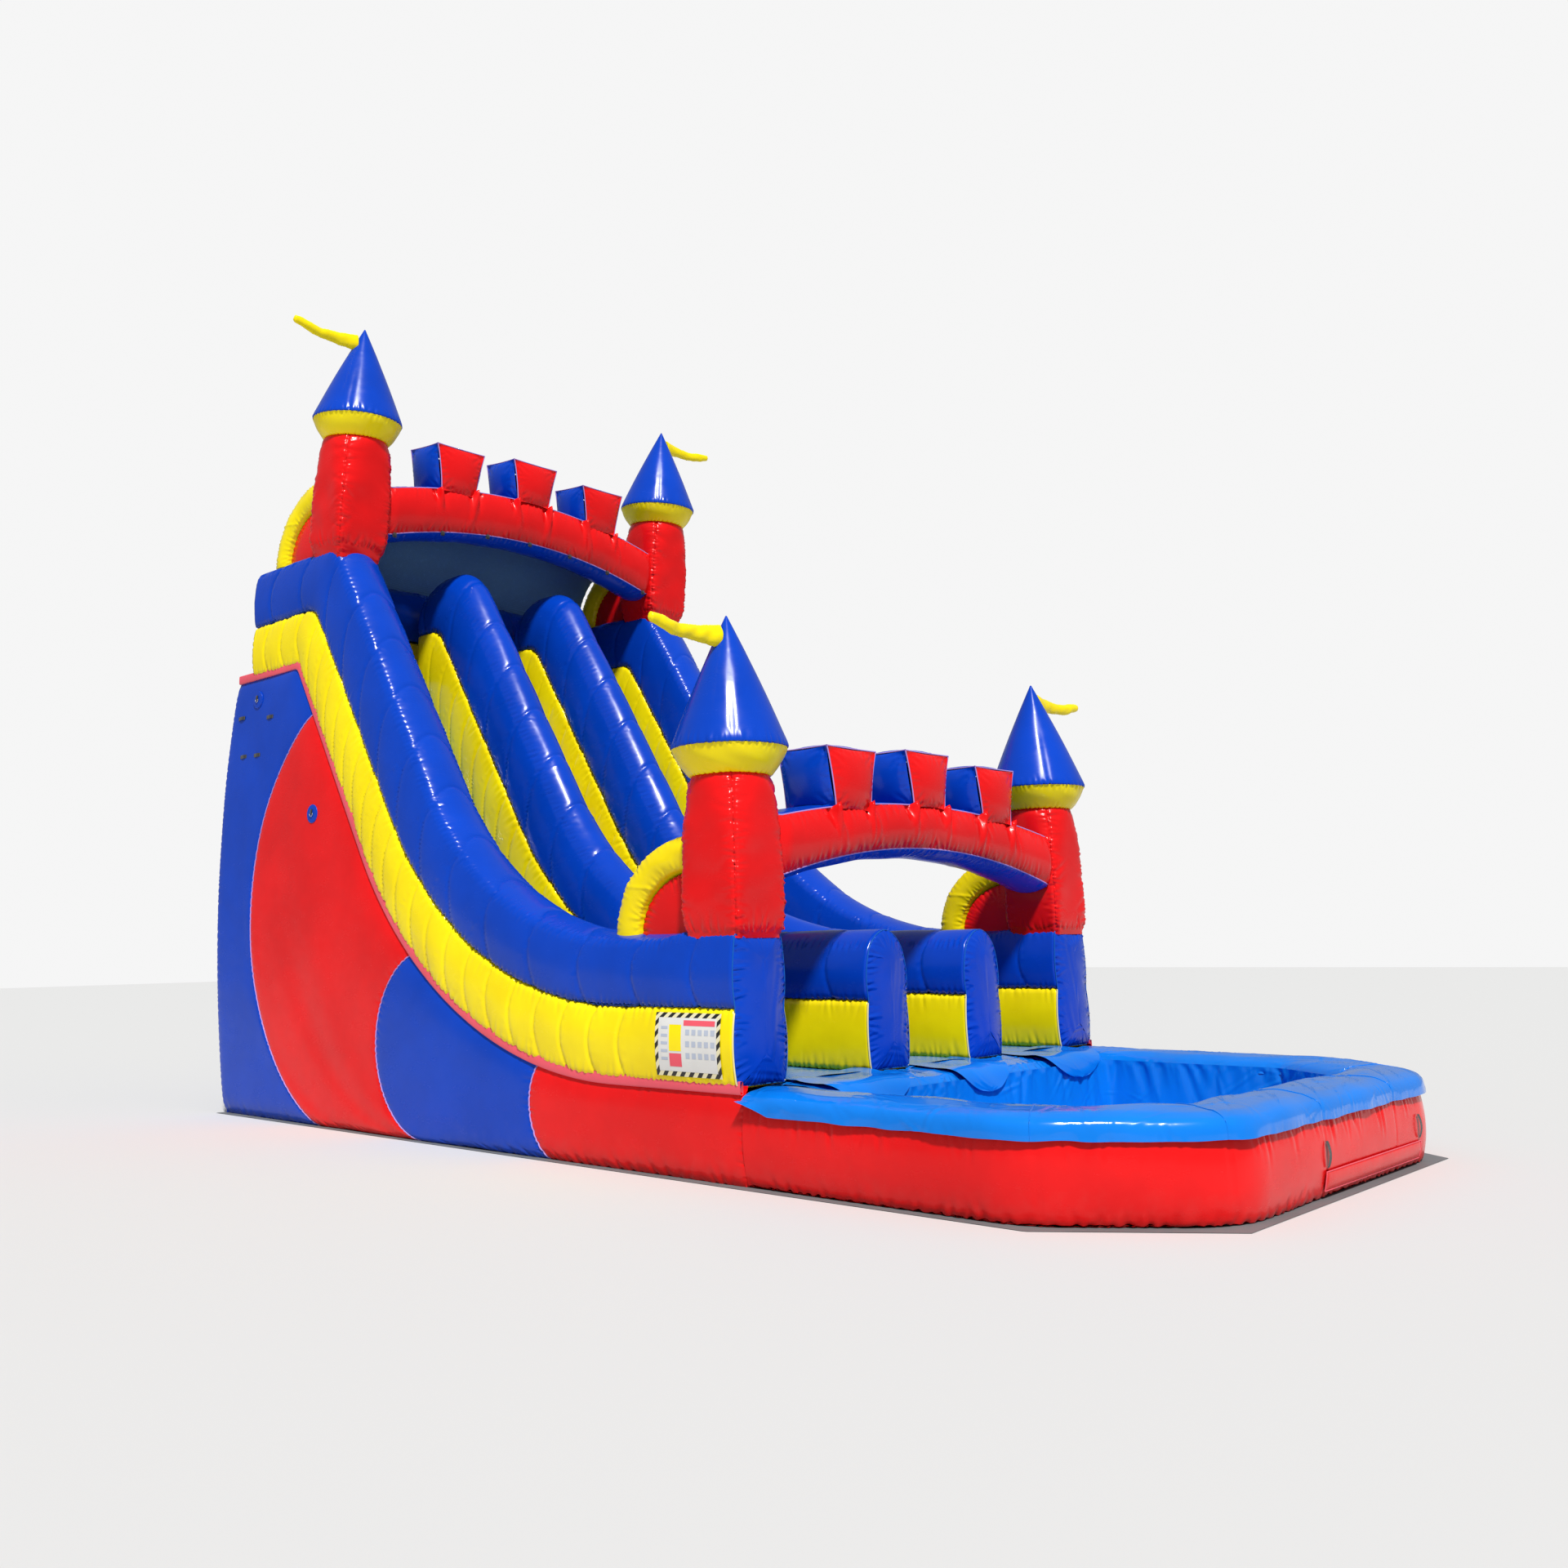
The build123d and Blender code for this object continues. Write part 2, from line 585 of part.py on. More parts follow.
def side_webbing():
    """Short flat straps sewn to the upper rear corner of both side panels."""
    straps = []
    for side in SIDES.values():
        for y, z in SIDE_STRAPS:
            x = mirrored(side, HALF_WIDTH, HALF_WIDTH + 4)
            straps.append(box(x, (FACE + y - 60, FACE + y + 60), (z - 18, z + 18)))
    return group(straps)


# ---- deflation zip on the right side panel ----
def zip_tape():
    """Zip tape with its raised coil and end stops, and the sewn strip that the flap hangs from."""
    rear = FACE + ZIP_Y
    y = (rear - ZIP_LENGTH, rear)
    tape = box((HALF_WIDTH, HALF_WIDTH + TAPE), y, (ZIP_Z - 22, ZIP_Z + 22))
    coil = box((HALF_WIDTH + TAPE, HALF_WIDTH + TAPE + COIL), y,
               (ZIP_Z - COIL_WIDTH / 2, ZIP_Z + COIL_WIDTH / 2))
    strip = box((HALF_WIDTH, HALF_WIDTH + FLAP_STAND - 4), (y[0] - 20, y[1] + 20),
                (ZIP_Z + FLAP_HEIGHT / 2 + 1, ZIP_Z + FLAP_HEIGHT / 2 + 9))
    return group([tape + coil, strip])


def zip_slider():
    """Slider that straddles the coil, with its pull tab lying along the tape."""
    clear = 0.5
    base = HALF_WIDTH + TAPE + clear
    top = HALF_WIDTH + TAPE + COIL + 4
    end = FACE + ZIP_Y - 5
    start = end - SLIDER_LENGTH
    body = box((base, top), (start, end), (ZIP_Z - 9, ZIP_Z + 9))
    channel = box((base - 1, base + COIL + clear), (start - 1, end + 1),
                  (ZIP_Z - COIL_WIDTH / 2 - clear, ZIP_Z + COIL_WIDTH / 2 + clear))
    pull = box((top, top + 2), (start - 34, start + 12), (ZIP_Z - 5, ZIP_Z + 5))
    return body - channel + pull


def zip_flap():
    """Fabric flap that hangs over the zip."""
    y = (FACE + ZIP_Y - ZIP_LENGTH - 20, FACE + ZIP_Y + 20)
    x = HALF_WIDTH + FLAP_STAND
    return box((x - 1.5, x + 1.5), y, (ZIP_Z - FLAP_HEIGHT / 2, ZIP_Z + FLAP_HEIGHT / 2 - 1))


def parts():
    """Every sub-part by name."""
    made = {
        "ground_sheet": ground_sheet(),
        "rear_panel": rear_panel(),
        "inlet_sleeves": inlet_sleeves(),
        "front_base_panel": front_base_panel(),
        "internal_baffles": internal_baffles(),
        "rail_end_caps": rail_end_caps(),
        "divider_end_caps": divider_end_caps(),
        "climb_lane": climb_lane(),
        "climb_steps": climb_steps(),
        "climb_handles": climb_handles(),
        "lane_flaps": lane_flaps(),
        "platform_deck": platform_deck(),
        "rear_wall_lower": rear_wall_lower(),
        "rear_wall_tube": rear_wall_tube(),
        "tower_flags": tower_flags(),
        "rear_net": rear_net(),
        "buttress_tubes": group(buttress(name, True) for name in TOWERS),
        "buttress_webs": group(buttress(name, False) for name in TOWERS),
        "merlons": group(merlons(ARCHES["front"]) + merlons(ARCHES["rear"])),
        "pool_wall": pool_wall(),
        "pool_cover": pool_cover(),
        "pool_liner": pool_liner(),
        "drain_pocket": drain_pocket(),
        "label_panel": label_panel(),
        "hose_tabs": hose_tabs(),
        "ring_patches": ring_patches(),
        "side_webbing": side_webbing(),
        "zip_tape": zip_tape(),
        "zip_slider": zip_slider(),
        "zip_flap": zip_flap(),
    }
    for word, side in SIDES.items():
        made[f"side_panel_{word}"] = side_panel(side)
        made[f"rail_wall_{word}"] = rail_wall(side)
        made[f"rail_tube_{word}"] = rail_tube(side)
        made[f"divider_wall_{word}"] = divider_wall(side)
        made[f"divider_tube_{word}"] = divider_tube(side)
        made[f"slide_lane_{word}"] = slide_lane(side)
    for name, place in TOWERS.items():
        made[f"tower_body_{name}"] = tower_body(*place)
        made[f"tower_cuff_{name}"] = tower_cuff(*place)
        made[f"tower_cone_{name}"] = tower_cone(*place)
    for end, spec in ARCHES.items():
        made[f"{end}_arch"] = arch(spec)
    for name in RINGS:
        made[f"guy_ring_{name}"] = guy_ring(name)
    return made


os.makedirs("parts", exist_ok=True)
for node, shape in parts().items():
    export_step(shape, f"parts/{node}.step")
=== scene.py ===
"""Inflatable castle water slide: coated fabric skins, welts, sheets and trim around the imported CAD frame.

Metres, +Z up, +X to the right as seen from the pool, +Y from the pool towards the tall rear end.
"""
from math import cos, hypot, pi, radians, sin, sqrt, tan

import bmesh
import bpy
import numpy as np
from mathutils import Matrix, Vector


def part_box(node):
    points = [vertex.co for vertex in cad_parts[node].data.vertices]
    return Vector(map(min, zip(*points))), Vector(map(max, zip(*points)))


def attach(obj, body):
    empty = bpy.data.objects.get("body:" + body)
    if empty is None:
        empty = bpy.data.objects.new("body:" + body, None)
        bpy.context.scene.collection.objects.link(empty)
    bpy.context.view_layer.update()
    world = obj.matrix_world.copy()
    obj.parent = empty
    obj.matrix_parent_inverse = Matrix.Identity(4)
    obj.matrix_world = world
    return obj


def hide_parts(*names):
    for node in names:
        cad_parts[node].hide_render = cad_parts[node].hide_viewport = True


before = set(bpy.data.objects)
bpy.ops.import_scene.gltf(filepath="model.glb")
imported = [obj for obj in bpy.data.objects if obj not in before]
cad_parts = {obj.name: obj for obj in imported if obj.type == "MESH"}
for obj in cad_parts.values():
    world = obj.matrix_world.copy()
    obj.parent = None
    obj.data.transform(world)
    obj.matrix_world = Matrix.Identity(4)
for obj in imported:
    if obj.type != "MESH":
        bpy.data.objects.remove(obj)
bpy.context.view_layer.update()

# ---- places and sizes, from the frame ----
BODY = "inflatable"
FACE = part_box("front_arch")[0][1]  # front face of the front towers
HALF_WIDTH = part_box("side_panel_right")[1][0]
RAIL_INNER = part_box("rail_tube_right")[0][0]
RAIL_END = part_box("rail_tube_right")[1][1]
LANE_EDGE, _, BASE_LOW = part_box("divider_wall_right")[0]
DIVIDER_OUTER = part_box("divider_wall_right")[1][0]
DIVIDER_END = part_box("divider_tube_right")[1][1]
TOP_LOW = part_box("rail_end_caps")[1][2]
TOP_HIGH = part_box("rail_tube_right")[1][2]
TUBE_HEIGHT = (TOP_LOW - BASE_LOW) / 2  # of each of a rail's two tubes
SEAM_LOW = TOP_LOW - TUBE_HEIGHT  # the seam between them, at the pool and on the platform
SEAM_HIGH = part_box("rail_wall_right")[1][2]
BASE_HIGH = SEAM_HIGH - TUBE_HEIGHT
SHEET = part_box("ground_sheet")[1][2]
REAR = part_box("ground_sheet")[1][1] - 0.04  # foot of the rear panel
REAR_FRONT = FACE + 4.8  # front face of the rear towers at their feet
REAR_LEAN = radians(5.5)  # of the rear towers and their arch, towards the pool
POOL_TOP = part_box("pool_wall")[1][2]
POOL_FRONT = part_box("pool_wall")[0][1]
RAIL_HALF = (HALF_WIDTH - RAIL_INNER) / 2
RAIL_MIDDLE = (HALF_WIDTH + RAIL_INNER) / 2
DIVIDER_HALF = (DIVIDER_OUTER - LANE_EDGE) / 2
DIVIDER_MIDDLE = (DIVIDER_OUTER + LANE_EDGE) / 2
SIDES = {"left": -1, "right": 1}

# the slide's side profile, as in the CAD
SLOPE_FOOT = 2.975  # from the front face to where the slope's line meets the seam's lower level
SLOPE = radians(58)
FOOT_RADIUS = 3.2  # of the seam's bend at the foot of the slope
CREST_RADIUS = 0.23
CREST_GROWTH = -0.25  # change of the crest's radius with distance from the seam
DIVIDER_CREST_GROWTH = 0.35
UPPER_GROWTH = 1.2  # an upper tube is this much taller on the slope and the platform

STEP = 0.013  # spacing of the skins' grids
GROOVE_WIDTH = 0.012  # of the groove at a sewn seam


# ---- camera ----
def stand(thing, axes, place):
    """Turn an object to its three axes and put it in place."""
    thing.matrix_world = Matrix([[*axis, at] for axis, at in zip(np.array(axes).T, place)] + [[0, 0, 0, 1]])
    bpy.context.scene.collection.objects.link(thing)


def camera():
    """Eye height in front of the left corner of the pool, as a person stands there."""
    place = (-9.15, -8.148, 1.51)
    yaw, pitch, roll = radians(-45.215), radians(10.181), radians(-0.911)
    forward = np.array([-sin(yaw) * cos(pitch), cos(yaw) * cos(pitch), sin(pitch)])
    right = np.array([cos(yaw), sin(yaw), 0.0])
    up = np.cross(right, forward)
    x_axis = cos(roll) * right + sin(roll) * up
    y_axis = cos(roll) * up - sin(roll) * right
    data = bpy.data.cameras.new("camera")
    data.sensor_width = 36
    data.lens = 32.08
    data.shift_x = 0.0835
    data.shift_y = -0.0574
    eye = bpy.data.objects.new("camera", data)
    stand(eye, [x_axis, y_axis, -forward], place)
    bpy.context.scene.camera = eye


camera()


# ---- materials ----
class Nodes:
    """Short form for building a material's node tree."""

    def __init__(self, name):
        self.material = bpy.data.materials.new(name)
        self.material.use_nodes = True
        self.tree = self.material.node_tree
        self.shader = self.tree.nodes["Principled BSDF"]
        self.coordinates = self.add("ShaderNodeTexCoord").outputs["Object"]

    def add(self, kind, inputs=(), **settings):
        node = self.tree.nodes.new(kind)
        for key, value in settings.items():
            setattr(node, key, value)
        for key, value in dict(inputs).items():
            self.put(node.inputs[key], value)
        return node

    def put(self, socket, value):
        if isinstance(value, bpy.types.NodeSocket):
            self.tree.links.new(value, socket)
        else:
            socket.default_value = value

    def noise(self, scale, detail=3.0, roughness=0.5, stretch=None):
        place = self.coordinates
        if stretch:
            place = self.add("ShaderNodeMapping", {"Vector": place, "Scale": stretch}).outputs[0]
        node = self.add("ShaderNodeTexNoise", {"Vector": place, "Scale": scale, "Detail": detail,
                                               "Roughness": roughness})
        return node.outputs["Fac"]

    def ramp(self, value, low, high, out_low, out_high):
        node = self.add("ShaderNodeMapRange", {"Value": value, "From Min": low, "From Max": high,
                                               "To Min": out_low, "To Max": out_high})
        return node.outputs["Result"]

    def mix(self, factor, first, second):
        node = self.add("ShaderNodeMix", data_type="RGBA")
        for key, value in (("Factor", factor), ("A", first), ("B", second)):
            sockets = [s for s in node.inputs if s.name == key and s.enabled]
            self.put(sockets[-1] if key != "Factor" else sockets[0], value)
        return next(s for s in node.outputs if s.enabled)

    def bump(self, height, distance, strength):
        inputs = {"Height": height, "Distance": distance, "Strength": strength}
        return self.add("ShaderNodeBump", inputs).outputs["Normal"]


def weave(nodes, pitch):
    """Crossed threads of the base cloth, in all three directions."""
    waves = []
    for axis in "XYZ":
        wave = nodes.add("ShaderNodeTexWave", {"Vector": nodes.coordinates, "Scale": 1 / (3.2 * pitch),
                                               "Distortion": 0.4, "Detail": 0.0},
                         wave_type="BANDS", bands_direction=axis)
        waves.append(wave.outputs["Fac"])
    first = nodes.add("ShaderNodeMath", {0: waves[0], 1: waves[1]}, operation="ADD").outputs[0]
    return nodes.add("ShaderNodeMath", {0: first, 1: waves[2]}, operation="ADD").outputs[0]


def shade(colour, factor):
    return tuple(min(c * factor, 0.97) for c in colour) + (1.0,)


def vinyl(name, colour, roughness=0.17, dust=0.05, coat=0.06):
    """Coated PVC fabric: a glossy film over a fine weave, a little uneven, dusty and scuffed."""
    nodes = Nodes(name)
    patches = nodes.noise(1.3, 4.0, 0.6)
    scuffs = nodes.noise(9.0, 6.0, 0.65)
    tone = nodes.mix(nodes.ramp(patches, 0.35, 0.65, 0.0, 1.0), shade(colour, 0.9), shade(colour, 1.06))
    height = nodes.add("ShaderNodeSeparateXYZ", {"Vector": nodes.coordinates}).outputs["Z"]
    near_ground = nodes.ramp(height, 0.0, 0.45, 1.0, 0.0)
    film = nodes.add("ShaderNodeMath", {0: near_ground, 1: scuffs}, operation="MULTIPLY").outputs[0]
    dusty = nodes.ramp(film, 0.3, 0.75, 0.0, dust)
    tone = nodes.mix(dusty, tone, (0.42, 0.38, 0.33, 1.0))
    nodes.put(nodes.shader.inputs["Base Color"], tone)
    smears = nodes.noise(3.0, 5.0, 0.7, stretch=(1.0, 1.0, 2.5))
    nodes.put(nodes.shader.inputs["Roughness"], nodes.ramp(smears, 0.3, 0.7, roughness, roughness + 0.14))
    nodes.shader.inputs["Coat Weight"].default_value = coat
    nodes.shader.inputs["Coat Roughness"].default_value = 0.08
    nodes.shader.inputs["Specular IOR Level"].default_value = 0.19
    slack = nodes.bump(nodes.noise(7.0, 1.0, 0.4), 0.006, 0.3)
    nodes.put(nodes.shader.inputs["Normal"], slack)
    return nodes.material


def cloth(name, colour, pitch, roughness=0.8, sheen=0.2, depth=0.0006):
    """Woven strap, tape or screen with a plain weave that shows."""
    nodes = Nodes(name)
    threads = weave(nodes, pitch)
    worn = nodes.noise(30.0, 4.0, 0.6)
    tone = nodes.mix(nodes.ramp(threads, 0.6, 2.4, 0.0, 1.0), shade(colour, 0.7), shade(colour, 1.2))
    tone = nodes.mix(nodes.ramp(worn, 0.55, 0.8, 0.0, 0.3), tone, shade(colour, 1.8))
    nodes.put(nodes.shader.inputs["Base Color"], tone)
    nodes.shader.inputs["Roughness"].default_value = roughness
    nodes.shader.inputs["Sheen Weight"].default_value = sheen
    nodes.put(nodes.shader.inputs["Normal"], nodes.bump(threads, depth, 0.8))
    return nodes.material


def metal(name, colour, roughness):
    nodes = Nodes(name)
    marks = nodes.noise(220.0, 5.0, 0.7, stretch=(1.0, 6.0, 1.0))
    nodes.put(nodes.shader.inputs["Base Color"],
              nodes.mix(nodes.ramp(marks, 0.3, 0.7, 0.0, 1.0), shade(colour, 0.75), shade(colour, 1.05)))
    nodes.put(nodes.shader.inputs["Roughness"], nodes.ramp(marks, 0.3, 0.7, roughness, roughness + 0.2))
    nodes.shader.inputs["Metallic"].default_value = 1.0
    nodes.put(nodes.shader.inputs["Normal"], nodes.bump(marks, 0.0001, 0.4))
    return nodes.material


def striped(name, first, second):
    """Printed film with slanting stripes."""
    nodes = Nodes(name)
    wave = nodes.add("ShaderNodeTexWave", {"Vector": nodes.coordinates, "Scale": 8.0, "Distortion": 0.0},
                     wave_type="BANDS", bands_direction="DIAGONAL")
    edge = nodes.ramp(wave.outputs["Fac"], 0.47, 0.53, 0.0, 1.0)
    nodes.put(nodes.shader.inputs["Base Color"], nodes.mix(edge, shade(first, 1.0), shade(second, 1.0)))
    worn = nodes.noise(14.0, 4.0, 0.6)
    nodes.put(nodes.shader.inputs["Roughness"], nodes.ramp(worn, 0.3, 0.7, 0.3, 0.5))
    nodes.put(nodes.shader.inputs["Normal"], nodes.bump(worn, 0.001, 0.2))
    return nodes.material


RED = vinyl("red_vinyl", (0.74, 0.006, 0.007))
BLUE = vinyl("blue_vinyl", (0.001, 0.048, 0.46))
YELLOW = vinyl("yellow_vinyl", (0.96, 0.75, 0.003))
AZURE = vinyl("azure_vinyl", (0.002, 0.18, 0.70), roughness=0.12, coat=0.25)
GREY = vinyl("grey_vinyl", (0.16, 0.17, 0.18), roughness=0.45, coat=0.0)
DECK = vinyl("deck_vinyl", (0.01, 0.025, 0.07), roughness=0.5, coat=0.0)
WHITE = vinyl("baffle_vinyl", (0.7, 0.7, 0.68), roughness=0.4, coat=0.0)
LILAC = vinyl("lilac_welt", (0.40, 0.26, 0.62), roughness=0.35, dust=0.0)
PINK = vinyl("red_welt", (0.80, 0.10, 0.14), roughness=0.3, dust=0.0)
CREAM = vinyl("cream_welt", (0.82, 0.70, 0.30), roughness=0.4, dust=0.0)
DEEP = vinyl("blue_welt", (0.004, 0.10, 0.42), roughness=0.3, dust=0.0)
# painted light: the screen's blue is lighter than its dark navy mesh, standing in for light that comes
# through the mesh's holes
NET = cloth("mesh_net", (0.07, 0.20, 0.46), 0.004, roughness=0.7, sheen=0.1)
WEBBING = cloth("black_webbing", (0.012, 0.012, 0.014), 0.003)
ZIP = cloth("zip_tape", (0.02, 0.02, 0.022), 0.002)
PALE = vinyl("pale_print", (0.45, 0.50, 0.60), roughness=0.4, coat=0.0)
STRIPES = striped("striped_border", (0.01, 0.01, 0.01), (0.75, 0.70, 0.45))
STEEL = metal("ring_steel", (0.62, 0.63, 0.64), 0.25)
ZIP_METAL = metal("zip_metal", (0.10, 0.10, 0.11), 0.35)


# ---- grids: points in rows and columns, wrinkled along their normals ----
def grid_of(x, y, z):
    """Grid of points from coordinates that are numbers, rows, columns or whole grids."""
    return np.stack(np.broadcast_arrays(x, y, z), axis=-1).astype(float)


def distances(line):
    """Distance along a line from its first point, at every point."""
    return np.concatenate([[0], np.cumsum(np.linalg.norm(np.diff(line, axis=0), axis=1))])


def along_line(line, places):
    """Points on a line at these distances from its start."""
    return np.stack([np.interp(places, distances(line), line[:, k]) for k in range(line.shape[1])], axis=-1)


def soften(values, times):
    """Smooth a line's values in place, keeping both ends."""
    for _ in range(times):
        values[1:-1] = (values[:-2] + 2 * values[1:-1] + values[2:]) / 4


def unit(vectors):
    """Rows of vectors, each made one metre long."""
    return vectors / np.linalg.norm(vectors, axis=1, keepdims=True)


def corners_of(node):
    """A CAD node's lowest and highest corners."""
    return [np.array(corner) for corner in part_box(node)]


def lengths(points, axis):
    """Distance along rows or columns, from the first, at every point."""
    gaps = np.linalg.norm(np.diff(points, axis=axis), axis=2)
    total = np.cumsum(gaps, axis=axis)
    shape = list(gaps.shape)
    shape[axis] = 1
    return np.concatenate([np.zeros(shape), total], axis=axis)


def normals(points, closed):
    """Unit normals; closed says that the last column meets the first."""
    if closed:
        wrapped = np.concatenate([points[:, -2:-1], points, points[:, 1:2]], axis=1)
        across = (wrapped[:, 2:] - wrapped[:, :-2])
    else:
        across = np.gradient(points, axis=1)
    along = np.gradient(points, axis=0)
    cross = np.cross(along, across)
    size = np.linalg.norm(cross, axis=2, keepdims=True)
    return cross / np.maximum(size, 1e-12)


class Skin:
    """A grid of points with a rise along the normal that its seams, creases and wrinkles add to."""

    def __init__(self, points, closed=False, flip=False):
        self.points = np.asarray(points, float)
        self.closed = closed
        self.flip = flip
        self.along = lengths(self.points, 0)
        self.across = lengths(self.points, 1)
        self.rise = np.zeros(self.points.shape[:2])

    def pucker(self, rng, column, depth=0.005, reach=0.09, pitch=0.045, slant=0.2, side=0, groove=0.0):
        """Wrinkles that run away from the seam along a column; side limits them to one side of it."""
        self._pucker(rng, self.along, self.across, column, depth, reach, pitch, slant, side, groove)

    def pucker_row(self, rng, row, depth=0.005, reach=0.09, pitch=0.045, slant=0.2, side=0, groove=0.0):
        """The same for a seam along a row."""
        self.rise = self.rise.T
        self._pucker(rng, self.across.T, self.along.T, row, depth, reach, pitch, slant, side, groove)
        self.rise = self.rise.T

    def pucker_edges(self, rng, depth, reach, pitch, slant=0.2):
        """Wrinkles that run in from the first and last columns."""
        self.pucker(rng, 0, depth, reach, pitch, slant, 1)
        self.pucker(rng, self.points.shape[1] - 1, depth, reach, pitch, slant, -1)

    def pucker_ends(self, rng, depth, reach, pitch, slant=0.2):
        """Wrinkles that run in from the first and last rows."""
        self.pucker_row(rng, 0, depth, reach, pitch, slant, 1)
        self.pucker_row(rng, len(self.points) - 1, depth, reach, pitch, slant, -1)

    def _pucker(self, rng, along, across, column, depth, reach, pitch, slant, side, groove):
        line = along[:, column]
        away = across - across[:, column:column + 1]
        if self.closed and along is self.along:  # the shorter way round
            turn = np.maximum(across[:, -1:], 1e-9)
            away = (away + turn / 2) % turn - turn / 2
        near = np.abs(away)
        if groove:
            self.rise -= groove * np.exp(-(near / GROOVE_WIDTH) ** 2)
        for half in ((-1, 1) if side == 0 else (side,)):
            on_half = away * half >= 0
            place = pitch * rng.uniform(0.2, 0.8)
            while place < line[-1]:
                far = reach * rng.uniform(0.3, 1.0)
                width = pitch * rng.uniform(0.16, 0.28)
                lean = rng.normal(0, slant)
                deep = depth * rng.uniform(0.35, 1.0)
                low, high = np.searchsorted(line, (place - 4 * width - far * abs(lean),
                                                   place + 4 * width + far * abs(lean)))
                part = slice(low, max(high, low + 1))
                d = near[part]
                x = (line[part, None] - place - lean * d) / (width * (1 + 0.8 * d / far))
                fade = np.clip(1 - d / far, 0, 1) ** 1.4
                fold = np.exp(-x * x) - 0.55 * np.exp(-(x / 1.9) ** 2)
                self.rise[part] -= np.where(on_half[part], deep * fade * fold, 0.0)
                place += pitch * rng.uniform(0.55, 1.5)

    def crease(self, rng, place, depth=0.005, width=0.012, puckers=0.002, reach=0.05, pitch=0.05):
        """A sewn ring across the rows at this distance along, with its own short wrinkles."""
        d = np.abs(self.along - place)
        self.rise -= depth * np.exp(-(d / width) ** 2)
        if puckers:
            row = int(np.argmin(d[:, d.shape[1] // 2]))
            self.pucker_row(rng, row, puckers, reach, pitch)

    def swell(self, places, height):
        """Between sewn rings, the tube swells by this height."""
        edges = np.concatenate([[0], places, [self.along.max()]])
        mid = self.along
        index = np.clip(np.searchsorted(edges, mid) - 1, 0, len(edges) - 2)
        share = (mid - edges[index]) / np.maximum(edges[index + 1] - edges[index], 1e-6)
        self.rise += height * (np.clip(4 * share * (1 - share), 0, 1) ** 0.6)

    def waves(self, rng, depth, size, count=6):
        """Soft unevenness of the whole skin."""
        for _ in range(count):
            turn, phase = rng.uniform(0, pi), rng.uniform(0, 2 * pi)
            pitch = size * rng.uniform(0.7, 1.6)
            place = (cos(turn) * self.along + sin(turn) * self.across) / pitch
            self.rise += depth / count * np.sin(2 * pi * place + phase)

    def fade_edges(self, distance):
        """Let the rise run out over this distance towards the first and last columns."""
        self.rise *= np.clip(np.minimum(self.across, self.across[:, -1:] - self.across) / distance, 0, 1)

    def shape(self):
        sign = -1 if self.flip else 1
        return self.points + sign * self.rise[..., None] * normals(self.points, self.closed)


def piece(name, parts, nodes=(), body=BODY, merge=0.0004):
    """One object from (grid of points, material, flip) parts, which are joined where their edges meet."""
    vertices, faces, slots, materials = [], [], [], []
    first = 0
    for points, material, flip in parts:
        rows, columns = points.shape[:2]
        vertices.append(points.reshape(-1, 3))
        index = first + np.arange(rows * columns).reshape(rows, columns)
        quads = np.stack([index[:-1, :-1], index[1:, :-1], index[1:, 1:], index[:-1, 1:]], axis=-1)
        quads = quads.reshape(-1, 4)
        faces.append(quads[:, ::-1] if flip else quads)
        if material not in materials:
            materials.append(material)
        slots.append(np.full(len(quads), materials.index(material)))
        first += rows * columns
    vertices = np.concatenate(vertices)
    vertices[:, 2] = np.maximum(vertices[:, 2], 0.0)  # it rests on the ground
    mesh = bpy.data.meshes.new(name)
    mesh.from_pydata(vertices.tolist(), [], np.concatenate(faces).tolist())
    mesh.polygons.foreach_set("material_index", np.concatenate(slots))
    mesh.polygons.foreach_set("use_smooth", np.ones(len(mesh.polygons), bool))
    for material in materials:
        mesh.materials.append(material)
    if merge:
        weld(mesh, merge)
    made = bpy.data.objects.new(name, mesh)
    bpy.context.scene.collection.objects.link(made)
    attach(made, body)
    if nodes:
        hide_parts(*nodes)
    return made


def weld(mesh, distance):
    work = bmesh.new()
    work.from_mesh(mesh)
    bmesh.ops.remove_doubles(work, verts=work.verts, dist=distance)
    bmesh.ops.dissolve_degenerate(work, edges=work.edges, dist=1e-6)
    work.to_mesh(mesh)
    work.free()


